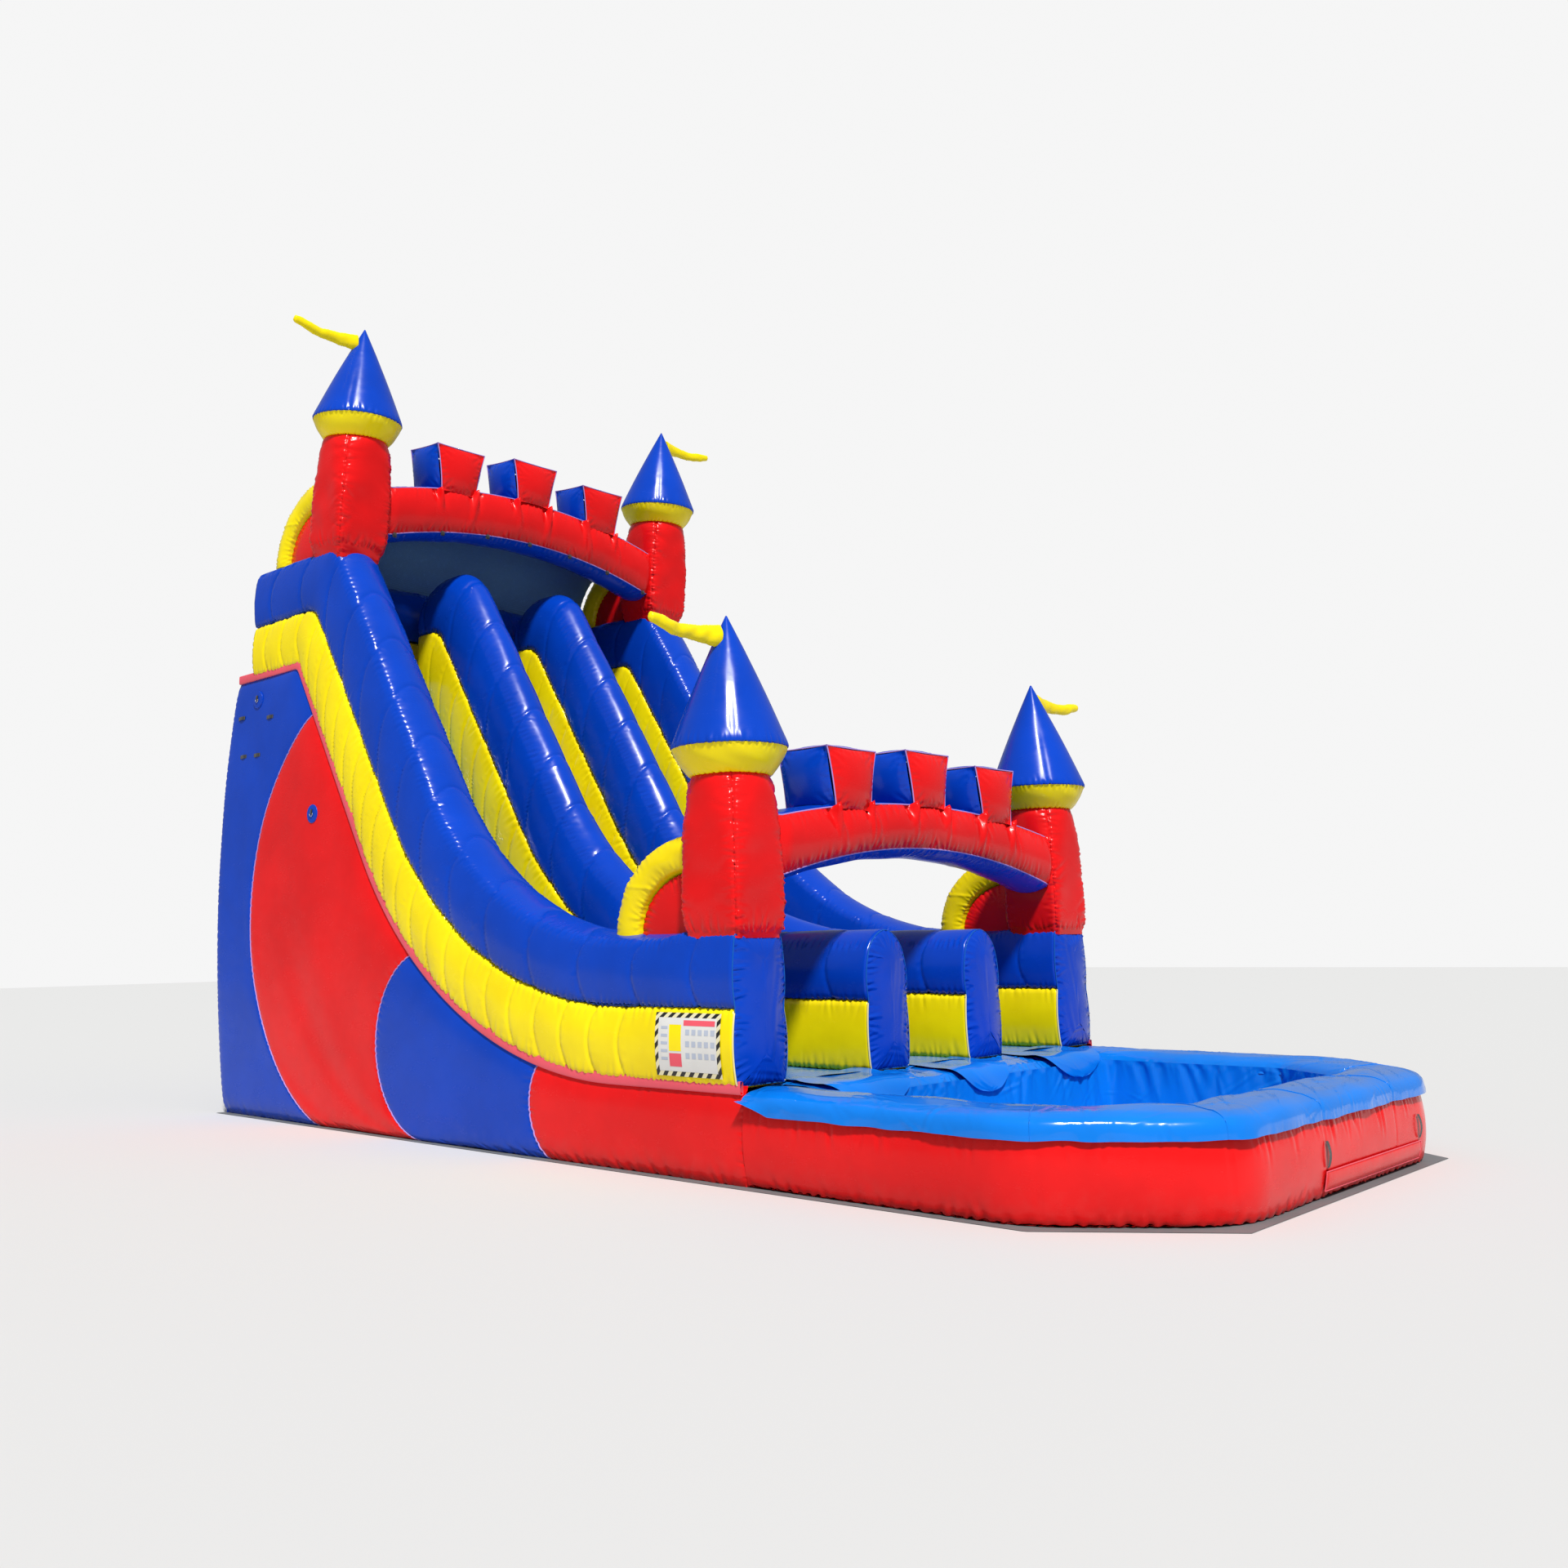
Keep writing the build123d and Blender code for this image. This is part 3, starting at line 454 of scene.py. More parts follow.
# ---- shapes that several pieces share ----
def slide_grid(offsets, start, end, step=STEP, growth=CREST_GROWTH):
    """Side-view points (Y, Z) of the slide: a row per station, a column per offset from the rail's seam."""
    offsets = np.atleast_1d(np.asarray(offsets, float))
    upper = np.where(offsets > 0, offsets * UPPER_GROWTH, offsets)
    low, high = SEAM_LOW + offsets, SEAM_HIGH + upper
    slope_y = FACE + SLOPE_FOOT - upper * sin(SLOPE)
    slope_z = SEAM_LOW + upper * cos(SLOPE)
    foot_radius = FOOT_RADIUS - offsets
    crest_radius = CREST_RADIUS + growth * np.abs(upper)
    foot_y = slope_y + (low - slope_z) / tan(SLOPE) - foot_radius * tan(SLOPE / 2)
    crest_y = slope_y + (high - slope_z) / tan(SLOPE) + crest_radius * tan(SLOPE / 2)

    def steps(length):
        return max(3, int(length / step) + 1)

    def arc(y, z, radius, first, last):
        turn = np.linspace(first, last, steps(abs(last - first) * radius.mean()))[:, None]
        return [y + radius * np.cos(turn), z + radius * np.sin(turn)]

    def run(first, last):
        count = steps(hypot(last[0].mean() - first[0].mean(), last[1].mean() - first[1].mean()))
        share = np.linspace(0, 1, count)[:, None]
        return [a + (b - a) * share for a, b in zip(first, last)]

    foot = arc(foot_y, low + foot_radius, foot_radius, -pi / 2, SLOPE - pi / 2)
    crest = arc(crest_y, high - crest_radius, crest_radius, SLOPE + pi / 2, pi / 2)
    parts = [run((start + 0 * low, low), (foot[0][0], foot[1][0])), foot,
             run((foot[0][-1], foot[1][-1]), (crest[0][0], crest[1][0])), crest,
             run((crest[0][-1], crest[1][-1]), (end + 0 * high, high))]
    whole = [np.concatenate([parts[0][axis]] + [part[axis][1:] for part in parts[1:]]) for axis in (0, 1)]
    return np.stack(whole, axis=-1)


def section(corners, rises, step=0.022):
    """Closed outline from corner to corner, anticlockwise; each side stands out by its rise.
    Returns the points, last equal to first, and the index of each corner."""
    corners = np.asarray(corners, float)
    points, marks = [], []
    for first, last, rise in zip(corners, np.roll(corners, -1, axis=0), rises):
        chord = last - first
        length = np.linalg.norm(chord)
        share = np.linspace(0, 1, max(3, int(length / step)) + 1)[:-1, None]
        outward = np.array([chord[1], -chord[0]]) / length
        marks.append(len(points))
        points.extend(first + chord * share + outward * 4 * rise * share * (1 - share))
    points = round_off(np.array(points), 2)
    return np.concatenate([points, points[:1]]), marks


def tube_section(foot_half, foot, head_half, head, rises, step=0.022):
    """Outline of a tube that is the same on both sides, from its lower right corner."""
    return section([(foot_half, foot), (head_half, head), (-head_half, head), (-foot_half, foot)],
                   rises, step)


def round_off(ring, times):
    """A closed outline with its corners smoothed."""
    for _ in range(times):
        ring = (np.roll(ring, 1, axis=0) + 2 * ring + np.roll(ring, -1, axis=0)) / 4
    return ring


def slide_places(offset, shares):
    """Points above the climbing lane at shares of its length, each with the slide's direction there."""
    path = slide_grid([offset], FACE, DIVIDER_END, 0.004)[:, 0]
    places = []
    for place in np.asarray(shares) * distances(path)[-1]:
        here, ahead = along_line(path, place), along_line(path, place + 0.02)
        run = np.array([0, *(ahead - here)])
        places.append((here, run / np.linalg.norm(run)))
    return places


def dome(ring, inside, height, rows=9):
    """Rows that close a tube's end with a pillow of the given height."""
    middle = ring[:-1].mean(axis=0)
    out = middle - inside[:-1].mean(axis=0)
    out /= np.linalg.norm(out)
    shrink = np.linspace(1, 0, rows + 1)[1:, None, None]
    return middle + (ring - middle) * shrink + out * height * (1 - shrink ** 2)


def closed_ends(points, first, last):
    """A tube with pillow ends; returns the points and the row of its last rim."""
    start = dome(points[0], points[1], first)[::-1]
    end = dome(points[-1], points[-2], last)
    whole = np.concatenate([start, points, end])
    return whole, len(start) + len(points) - 1


def pillow(outline, spine, out, height, columns=18, power=1.0):
    """Grid from a closed outline in to its spine, standing out by height in the middle."""
    shrink = np.linspace(1, 0, columns)[None, :, None]
    rise = height * (1 - shrink ** 2) ** power
    return spine[:, None] + (outline - spine)[:, None] * shrink + np.asarray(out, float) * rise


def welt(name, lines, material, radius):
    """Sewn piping along one or more lines of points, as round tubes."""
    parts = []
    turn = np.linspace(0, 2 * pi, 9)
    for line in lines:
        line = np.asarray(line, float)
        run = np.gradient(line, axis=0)
        run /= np.maximum(np.linalg.norm(run, axis=1, keepdims=True), 1e-9)
        aside = np.cross(run, np.where(np.abs(run[:, 2:]) < 0.8, (0.0, 0.0, 1.0), (1.0, 0.0, 0.0)))
        aside = unit(aside)
        up = np.cross(aside, run)
        ring = aside[:, None] * np.cos(turn)[:, None] + up[:, None] * np.sin(turn)[:, None]
        parts.append((line[:, None] + radius * ring, material, False))
    piece(name, parts)


def leaning(points, foot):
    """The rear towers and their arch lean towards the pool about their foot."""
    points = np.array(points, float)
    if foot == TOP_HIGH:
        axis = REAR_FRONT + RAIL_HALF
        y, z = points[..., 1] - axis, points[..., 2] - foot
        points[..., 1] = axis + y * cos(REAR_LEAN) - z * sin(REAR_LEAN)
        points[..., 2] = foot + y * sin(REAR_LEAN) + z * cos(REAR_LEAN)
    return points


def flat_strap(line, aside, width, thickness):
    """Closed grid of a flat strap along a line; aside is the direction of its width."""
    line = np.asarray(line, float)
    run = unit(np.gradient(line, axis=0))
    aside = np.broadcast_to(np.asarray(aside, float), line.shape)
    up = np.cross(aside, run)
    turn = np.linspace(0, 2 * pi, 17)
    across = width / 2 * np.sign(np.cos(turn)) * np.abs(np.cos(turn)) ** 0.25
    high = thickness / 2 * np.sign(np.sin(turn)) * np.abs(np.sin(turn)) ** 0.6
    return line[:, None] + aside[:, None] * across[None, :, None] + up[:, None] * high[None, :, None]


# ---- rails and dividers ----
TUBE_FRONT = FACE + 0.055  # the upright end panels cover the tubes' front edges
RAIL_UPPER = tube_section(RAIL_HALF - 0.008, 0, RAIL_HALF - 0.022, 0.435, (0.026, 0.062, 0.026, 0))
RAIL_LOWER = tube_section(RAIL_HALF - 0.016, -TUBE_HEIGHT, RAIL_HALF - 0.012, -0.004, (0.03, 0, 0.03, 0))
DIVIDER_UPPER = tube_section(DIVIDER_HALF - 0.008, 0, DIVIDER_HALF - 0.050, 0.385,
                             (0.035, 0.108, 0.035, 0))
DIVIDER_LOWER = tube_section(DIVIDER_HALF - 0.014, -TUBE_HEIGHT, DIVIDER_HALF - 0.010, -0.004,
                             (0.02, 0, 0.02, 0))


def flattened(heights):
    """Heights of a rail's upper tube where a front tower stands on it and presses it flat."""
    return np.minimum(np.where(heights > 0.3, 0.3 + (heights - 0.3) * 1.38, heights), 0.487)


def slide_tube(outline, middle, side, end, nose=0.0):
    """A section carried along the slide, closed at both ends; nose rounds its upper rear corner.
    Returns the points and the row of its rear rim."""
    across, height = outline[:, 0], outline[:, 1]
    line = slide_grid(height, TUBE_FRONT, end, growth=DIVIDER_CREST_GROWTH if nose else CREST_GROWTH)
    points = grid_of(side * (middle + across), line[..., 0], line[..., 1])
    if not nose:
        pressed = np.clip((FACE + 0.72 - line[..., 0]) / 0.2, 0, 1)
        points[..., 2] += (flattened(height) - height) * pressed
    if nose:
        into = np.clip(line[..., 0] - (end - nose), 0, nose)
        tall = TOP_HIGH - SEAM_HIGH
        lower = (tall - nose + np.sqrt(nose ** 2 - into ** 2)) / tall
        points[..., 2] = np.where(into > 0, SEAM_HIGH + (points[..., 2] - SEAM_HIGH) * lower, points[..., 2])
    return closed_ends(points, 0.0, 0.03)


def upper_tube(kind, word, outline, middle, end, nose, seed):
    """Glossy blue tube with sewn rings, and puckers beside its four long seams."""
    side, rng = SIDES[word], np.random.default_rng(seed)
    points, last = slide_tube(outline[0], middle, side, end, nose)
    skin = Skin(points, closed=True, flip=side < 0)
    rings = np.arange(0.62, skin.along.max() - 0.5, 0.56) + rng.uniform(-0.02, 0.02)
    skin.swell(rings, 0.007)
    for mark in outline[1]:
        skin.pucker(rng, mark, 0.024, 0.10, 0.046, groove=0.004)
    for place in rings:
        skin.crease(rng, place, 0.011, 0.011, 0.012, 0.08, 0.05)
        skin.crease(rng, place + 0.028, 0.003, 0.006, 0.0)
    skin.pucker_row(rng, last, 0.005, 0.08, 0.045)
    skin.waves(rng, 0.006, 0.7)
    node = f"{kind}_tube_{word}"
    piece(f"{kind}_blue_{word}", [(skin.shape(), BLUE, side < 0)], [node])


def lower_tube(kind, word, outline, middle, end, pitch, seed):
    """Yellow tube under it, more closely ringed, with longer puckers."""
    side, rng = SIDES[word], np.random.default_rng(seed)
    points, last = slide_tube(outline[0], middle, side, end)
    skin = Skin(points, closed=True, flip=side < 0)
    rings = np.arange(1.35, skin.along.max() - 0.2, pitch) + rng.uniform(-0.02, 0.02)
    skin.swell(rings, 0.006)
    for mark in outline[1]:
        skin.pucker(rng, mark, 0.021, 0.19, 0.06, slant=0.15, groove=0.005)
    for place in rings:
        skin.crease(rng, place, 0.012, 0.012, 0.010, 0.08, 0.06)
    skin.pucker_row(rng, last, 0.006, 0.08, 0.05)
    skin.waves(rng, 0.006, 0.6)
    piece(f"{kind}_yellow_{word}", [(skin.shape(), YELLOW, side < 0)], [f"{kind}_wall_{word}"])


def front_outline(upper, lower):
    """Outline of a rail's or divider's front end, from its section's outer edges, in (across, height)."""
    up, marks = upper
    low, low_marks = lower
    right = low[low_marks[0]:low_marks[1]]
    over = up[marks[0] + 1:marks[3]]
    left = low[low_marks[2] + 1:low_marks[3] + 1]
    bottom = np.linspace(left[-1], right[0], 18)[1:-1]
    return np.concatenate([right, over, left, bottom, right[:1]])


def front_end(name, upper, lower, middle, flattens, spine_top, nodes, seed):
    """Upright blue end panels of both rails or both dividers, pinched along their sewn edges.
    flattens says that towers stand on them."""
    parts, edges = [], []
    for side in SIDES.values():
        rng = np.random.default_rng(seed + side)
        flat = front_outline(upper, lower)
        if flattens:
            flat[:, 1] = flattened(flat[:, 1])
        steps = np.linspace(0, len(flat) - 1, 230)
        flat = np.stack([np.interp(steps, np.arange(len(flat)), flat[:, k]) for k in (0, 1)], axis=1)
        rim = grid_of(side * (middle + flat[:, 0]), FACE + 0.045, SEAM_LOW + flat[:, 1])
        spine = rim.copy()
        spine[:, 0] = side * middle
        spine[:, 2] = np.clip(rim[:, 2], BASE_LOW + 0.2, spine_top)
        skin = Skin(pillow(rim, spine, (0, -1, 0), 0.05, 20, 0.8), flip=side > 0)
        skin.pucker(rng, 0, 0.038, 0.17, 0.045, slant=0.25)
        skin.waves(rng, 0.006, 0.35)
        skin.fade_edges(0.004)
        shape = skin.shape()
        parts.append((shape, BLUE, side > 0))
        edges.append(shape[:, 0] + np.array([0, -0.002, 0]))
    piece(name, parts, nodes)
    return edges


for number, side_name in enumerate(SIDES):
    upper_tube("rail", side_name, RAIL_UPPER, RAIL_MIDDLE, RAIL_END, 0.0, 10 + number)
    lower_tube("rail", side_name, RAIL_LOWER, RAIL_MIDDLE, RAIL_END, 0.30, 20 + number)
    upper_tube("divider", side_name, DIVIDER_UPPER, DIVIDER_MIDDLE, DIVIDER_END - 0.03, 0.26, 30 + number)
    lower_tube("divider", side_name, DIVIDER_LOWER, DIVIDER_MIDDLE, DIVIDER_END - 0.03, 0.34, 40 + number)
END_SEAMS = front_end("rail_ends", RAIL_UPPER, RAIL_LOWER, RAIL_MIDDLE, True, TOP_LOW - 0.2,
                      ["rail_end_caps"], 50)
END_SEAMS += front_end("divider_ends", DIVIDER_UPPER, DIVIDER_LOWER, DIVIDER_MIDDLE, False, TOP_LOW - 0.22,
                       ["divider_end_caps"], 60)
welt("end_welts", END_SEAMS, DEEP, 0.004)


# ---- lanes and platform ----
def lane_skin(low, high, seed):
    """A lane's surface: crowned a little between its walls, ringed, and puckered beside them."""
    rng = np.random.default_rng(seed)
    across = np.linspace(low, high, max(12, int((high - low) / 0.022)))
    share = (across - low) / (high - low)
    crown = -TUBE_HEIGHT - 0.012 + 0.035 * (4 * share * (1 - share)) ** 0.7
    line = slide_grid(crown, FACE + 0.01, DIVIDER_END + 0.02)
    skin = Skin(grid_of(across, line[..., 0], line[..., 1]), flip=True)
    skin.pucker_edges(rng, 0.007, 0.14, 0.06)
    for place in np.arange(0.5, skin.along.max() - 0.2, 0.62):
        skin.crease(rng, place, 0.006, 0.014, 0.002, 0.06, 0.06)
    skin.waves(rng, 0.008, 0.5)
    return skin.shape()


def lanes():
    reach = DIVIDER_OUTER - 0.05
    inner = RAIL_INNER + 0.05
    for word, side in SIDES.items():
        low, high = sorted((side * reach, side * inner))
        piece(f"slide_surface_{word}", [(lane_skin(low, high, 70 + side), AZURE, True)],
              [f"slide_lane_{word}"])
    piece("climb_surface", [(lane_skin(-LANE_EDGE - 0.05, LANE_EDGE + 0.05, 75), AZURE, True)],
          ["climb_lane"])


ROLL_COUNT = 9
ROLL_RADIUS = 0.095


def roll(middle, run, radius, half, rng):
    """A soft roll across the climbing lane: a half round pillow, pinched at both ends."""
    along = np.linspace(-half, half, 60)
    turn = np.linspace(-0.15 * pi, 1.15 * pi, 26)
    slim = (1 - np.abs(along / half) ** 5) ** 0.35 * 0.3 + 0.7
    normal = np.array([0, -run[2], run[1]])
    ring = np.cos(turn)[:, None] * run + np.sin(turn)[:, None] * normal
    points = middle + along[:, None, None] * np.array([1.0, 0, 0]) + radius * slim[:, None, None] * ring[None]
    skin = Skin(points)
    skin.pucker_row(rng, 0, 0.006, 0.12, 0.035)
    skin.pucker_row(rng, len(points) - 1, 0.006, 0.12, 0.035)
    return skin.shape()


def climb_rolls():
    """The rolls sit where the CAD has them: evenly along the climbing lane's surface."""
    parts, rng = [], np.random.default_rng(80)
    for (y, z), run in slide_places(-TUBE_HEIGHT, np.linspace(0.34, 0.86, ROLL_COUNT)):
        shape = roll(np.array([0, y, z]), run, ROLL_RADIUS, LANE_EDGE - 0.01, rng)
        parts.append((shape, YELLOW, False))
    piece("climb_rolls", parts, ["climb_steps"])


def flat_panel(x, y, z, rise, step=0.03):
    """Level sheet between X and Y limits at height z, a little crowned."""
    xs = np.linspace(*x, int((x[1] - x[0]) / step))
    ys = np.linspace(*y, int((y[1] - y[0]) / step))
    share_x = (xs - x[0]) / (x[1] - x[0])
    share_y = (ys - y[0]) / (y[1] - y[0])
    crown = rise * 16 * np.outer(share_y * (1 - share_y), share_x * (1 - share_x))
    return grid_of(xs, ys[:, None], z + crown)


def deck():
    rng = np.random.default_rng(90)
    low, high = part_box("platform_deck")
    sheet = flat_panel((low[0] + 0.02, high[0] - 0.02), (low[1], high[1] - 0.03), high[2] - 0.01, 0.012)
    skin = Skin(sheet, flip=True)
    for edge in (0, skin.points.shape[0] - 1):
        skin.pucker_row(rng, edge, 0.006, 0.15, 0.08)
    skin.waves(rng, 0.008, 0.6)
    piece("deck_sheet", [(skin.shape(), DECK, True)], ["platform_deck"])


def cross_tube(name, corners, rises, x, material, node, seed):
    """A tube that runs across the slide between the rails; its section is in (Y, Z)."""
    rng = np.random.default_rng(seed)
    outline, marks = section(corners, rises)
    xs = np.linspace(*x, int((x[1] - x[0]) / STEP))
    skin = Skin(grid_of(xs[:, None], outline[:, 0], outline[:, 1]), closed=True)
    rings = np.arange(0.6, x[1] - x[0] - 0.3, 0.6)
    skin.swell(rings, 0.008)
    for mark in marks:
        skin.pucker(rng, mark, 0.009, 0.12, 0.05, groove=0.003)
    for place in rings:
        skin.crease(rng, place, 0.008, 0.011, 0.003, 0.05, 0.06)
    piece(name, [(skin.shape(), material, False)], [node])


def rear_wall():
    low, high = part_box("rear_wall_tube")
    front, back, x = low[1], high[1], (low[0], high[0])
    cross_tube("rear_wall_blue", [(front + 0.03, SEAM_HIGH), (back - 0.03, SEAM_HIGH),
                                  (back - 0.07, TOP_HIGH - 0.09), (front + 0.07, TOP_HIGH - 0.09)],
               (0, 0.04, 0.09, 0.04), x, BLUE, "rear_wall_tube", 100)
    cross_tube("rear_wall_yellow", [(front + 0.035, BASE_HIGH), (back - 0.035, BASE_HIGH),
                                    (back - 0.035, SEAM_HIGH - 0.004), (front + 0.035, SEAM_HIGH - 0.004)],
               (0, 0.035, 0, 0.035), x, YELLOW, "rear_wall_lower", 101)


lanes()
climb_rolls()
deck()
rear_wall()


# ---- side and rear panels ----
SIDE_SEAMS = (  # (Y from the front face, Z) at the top, middle and foot of each curved seam
    ((5.29, 3.64), (6.27, 1.75), (4.95, SHEET)),
    ((3.65, 1.40), (4.11, 0.68), (3.40, SHEET)),
    ((2.01, 0.66), (2.10, 0.38), (1.90, SHEET)),
)
REAR_BULGE = 0.26  # how far the rear panel swells out in the middle of its height


def arc_through(first, middle, last, count):
    """Points on the circle through three points of the (Y, Z) plane."""
    a, b, c = (complex(*p) for p in (first, middle, last))
    w = (c - a) / (b - a)
    centre = (b - a) * (w - abs(w) ** 2) / (2j * w.imag) + a
    turns = np.unwrap([np.angle(p - centre) for p in (a, b, c)])
    turn = np.linspace(turns[0], turns[2], count)
    return np.stack([centre.real + abs(a - centre) * np.cos(turn),
                     centre.imag + abs(a - centre) * np.sin(turn)], axis=1)


def side_edges(count):
    """The side panel's upright edges from the rear edge to the front one, each from its top to its foot."""
    swell = (REAR + REAR_BULGE, (BASE_HIGH + SHEET) / 2)
    edges = [arc_through((REAR, BASE_HIGH), swell, (REAR, SHEET), count)]
    for seam in SIDE_SEAMS:
        edges.append(arc_through(*[(FACE + y, z) for y, z in seam], count))
    edges.append(np.stack([np.full(count, FACE), np.linspace(BASE_LOW, SHEET, count)], axis=1))
    return edges


def slide_between(first, last, count):
    """Points on the side panel's top edge between two Y values."""
    top = slide_grid([-TUBE_HEIGHT + 0.012], FACE, REAR + 0.02, 0.01)[:, 0]
    ends = [distances(top)[np.argmin(np.linalg.norm(top - p, axis=1))] for p in (first, last)]
    return along_line(top, np.linspace(*ends, count))


def side_field(rear, front, side, seed):
    """One coloured field of a side panel, between two upright edges, as a sewn and swollen skin."""
    rng = np.random.default_rng(seed)
    rows = len(rear)
    columns = max(20, int(np.linalg.norm(rear - front, axis=1).mean() / 0.018))
    top = slide_between(rear[0], front[0], columns)
    foot = np.linspace(rear[-1], front[-1], columns)
    b = np.linspace(0, 1, rows)[:, None, None]
    a = np.linspace(0, 1, columns)[None, :, None]
    flat = (top[None] * (1 - b) + foot[None] * b + rear[:, None] * (1 - a) + front[:, None] * a
            - (rear[0] * (1 - a) * (1 - b) + front[0] * a * (1 - b)
               + rear[-1] * (1 - a) * b + front[-1] * a * b))
    down = lengths(np.concatenate([flat, 0 * flat[..., :1]], axis=2), 0)
    over = lengths(np.concatenate([flat, 0 * flat[..., :1]], axis=2), 1)
    up = down[-1:] - down
    back = over[:, -1:] - over
    inset = 0.055 * np.exp(-down / 0.09) + 0.045 * np.exp(-up / 0.07)
    inset += 0.010 * np.exp(-over / 0.035) + 0.010 * np.exp(-back / 0.035)
    skin = Skin(grid_of(side * (HALF_WIDTH - 0.004 - inset), flat[..., 0], flat[..., 1]), flip=side > 0)
    skin.pucker_row(rng, 0, 0.021, 0.20, 0.075, slant=0.15, side=1)
    skin.pucker_row(rng, rows - 1, 0.022, 0.22, 0.10, slant=0.25, side=-1)
    skin.pucker_edges(rng, 0.010, 0.12, 0.06)
    skin.waves(rng, 0.006, 1.1)
    return skin.shape()


def side_panels():
    for word, side in SIDES.items():
        edges = side_edges(230)
        parts, seams = [], []
        for number, colour in enumerate((BLUE, RED, BLUE, RED)):
            shape = side_field(edges[number], edges[number + 1], side, 110 + 5 * side + number)
            parts.append((shape, colour, side > 0))
            if number:
                seams.append(shape[:, 0] + np.array([side * 0.003, 0, 0]))
        piece(f"side_skin_{word}", parts, [f"side_panel_{word}"], merge=0)
        welt(f"side_welts_{word}", seams, LILAC, 0.006)
        top = slide_grid([-TUBE_HEIGHT - 0.045, -TUBE_HEIGHT + 0.045], FACE + 0.02, REAR, 0.03)
        line, aside = top.mean(axis=1), top[:, 1] - top[:, 0]
        line = grid_of(side * (HALF_WIDTH - 0.026), *line.T)
        strip = flat_strap(line, unit(grid_of(0, *aside.T)), 0.085, 0.03)
        piece(f"side_top_strip_{word}", [(strip, PINK, side > 0)])


def rear_skin():
    """Rear panel: upright swells between sewn lines, with puckers along every edge."""
    rng = np.random.default_rng(130)
    edge = side_edges(260)[0]
    half = HALF_WIDTH - 0.035
    xs = np.linspace(-half, half, 220)
    skin = Skin(grid_of(xs, edge[:, :1] - 0.02, edge[:, 1:]), flip=True)
    columns = np.linspace(0, len(xs) - 1, 6).astype(int)
    share = (xs + half) / (2 * half) * 5 % 1
    swell = np.clip(4 * share * (1 - share), 0, 1) ** 0.6
    ends = np.clip(np.minimum(skin.along, skin.along[-1:] - skin.along) / 0.5, 0, 1) ** 0.5
    skin.rise += 0.03 * swell * ends
    for column in columns:
        skin.pucker(rng, column, 0.009, 0.16, 0.08, groove=0.006)
    skin.pucker_ends(rng, 0.009, 0.16, 0.08)
    skin.waves(rng, 0.012, 0.9)
    piece("rear_skin", [(skin.shape(), BLUE, True)], ["rear_panel"])
    lines = [skin.points[:, column] + np.array([0, -0.002, 0]) for column in columns[1:-1]]
    welt("rear_welts", lines, DEEP, 0.005)


side_panels()
rear_skin()


# ---- towers ----
TOWER_HALF = 0.25  # of the square that the towers are set out on
TOWER_PITCH = 2.05  # from the middle of the slide to the towers' axes
BODY_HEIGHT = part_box("tower_cuff_front_left")[0][2] - TOP_LOW
CUFF_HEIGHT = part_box("tower_cone_front_left")[0][2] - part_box("tower_cuff_front_left")[0][2]
CONE_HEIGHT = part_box("tower_cone_front_left")[1][2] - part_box("tower_cone_front_left")[0][2]
FOOT_REACH = 0.28  # how far a leaning shaft runs on below its foot, inside the rail
TOWERS = {
    "front_left": (-1, FACE, TOP_LOW),
    "front_right": (1, FACE, TOP_LOW),
    "rear_left": (-1, REAR_FRONT, TOP_HIGH),
    "rear_right": (1, REAR_FRONT, TOP_HIGH),
}
# half width of a tower's foot, then the radii of its body's top, its cuff's foot and its cone
GIRTHS = {"front": (0.264, 0.292, 0.308, 0.408), "rear": (0.282, 0.322, 0.336, 0.428)}


def girth(name):
    return GIRTHS[name.split("_")[0]]


def turned(radius, height, count=200, square=None):
    """Grid of a shape turned about Z: a row per height; square is each row's superellipse power."""
    turn = np.linspace(0, 2 * pi, count + 1)
    reach = np.asarray(radius)[:, None] * np.ones_like(turn)
    if square is not None:
        power = np.asarray(square)[:, None]
        reach = reach / (np.abs(np.cos(turn)) ** power + np.abs(np.sin(turn)) ** power) ** (1 / power)
    return grid_of(reach * np.cos(turn), reach * np.sin(turn), np.asarray(height)[:, None])


def tower_body(name, side, front, foot, seed):
    """Red shaft, square at its foot and round at its top, with a puckered seam up each corner."""
    rng = np.random.default_rng(seed)
    foot_half, top_radius, _, _ = girth(name)
    low = -FOOT_REACH if foot == TOP_HIGH else -0.05
    heights = np.arange(low, BODY_HEIGHT + 0.02, 0.011)
    share = np.clip(heights / BODY_HEIGHT, 0, 1)
    radius = foot_half - 0.004 + (top_radius - foot_half) * share ** 0.9
    radius -= 0.014 * np.exp(-np.clip(heights, 0, None) / 0.035)
    radius -= 0.28 * np.clip(-heights, 0, None)
    radius -= 0.025 * np.exp(-(BODY_HEIGHT - heights) / 0.03)
    power = 2 + 9 * (1 - share) ** 1.5  # of the superellipse: square to round
    count = 220
    quarter = count // 4
    skin = Skin(turned(radius, heights, count, power), closed=True, flip=True)
    for corner in range(4):
        column = quarter // 2 + corner * quarter
        skin.pucker(rng, column, 0.021, 0.14, 0.036, slant=0.2, groove=0.009)
        skin.pucker(rng, column, 0.018, 0.25, 0.12, slant=0.5)
    base = int(np.argmin(np.abs(heights)))
    skin.pucker_row(rng, base, 0.018, 0.20, 0.06, side=1)
    skin.pucker_row(rng, len(heights) - 2, 0.010, 0.12, 0.045, side=-1)
    skin.waves(rng, 0.008, 0.35)
    shape = leaning(skin.shape() + np.array([side * TOWER_PITCH, front + TOWER_HALF, foot]), foot)
    piece(f"shaft_{name}", [(shape, RED, True)], [f"tower_body_{name}"])
    return [shape[base:, quarter // 2 + corner * quarter] for corner in range(4)]


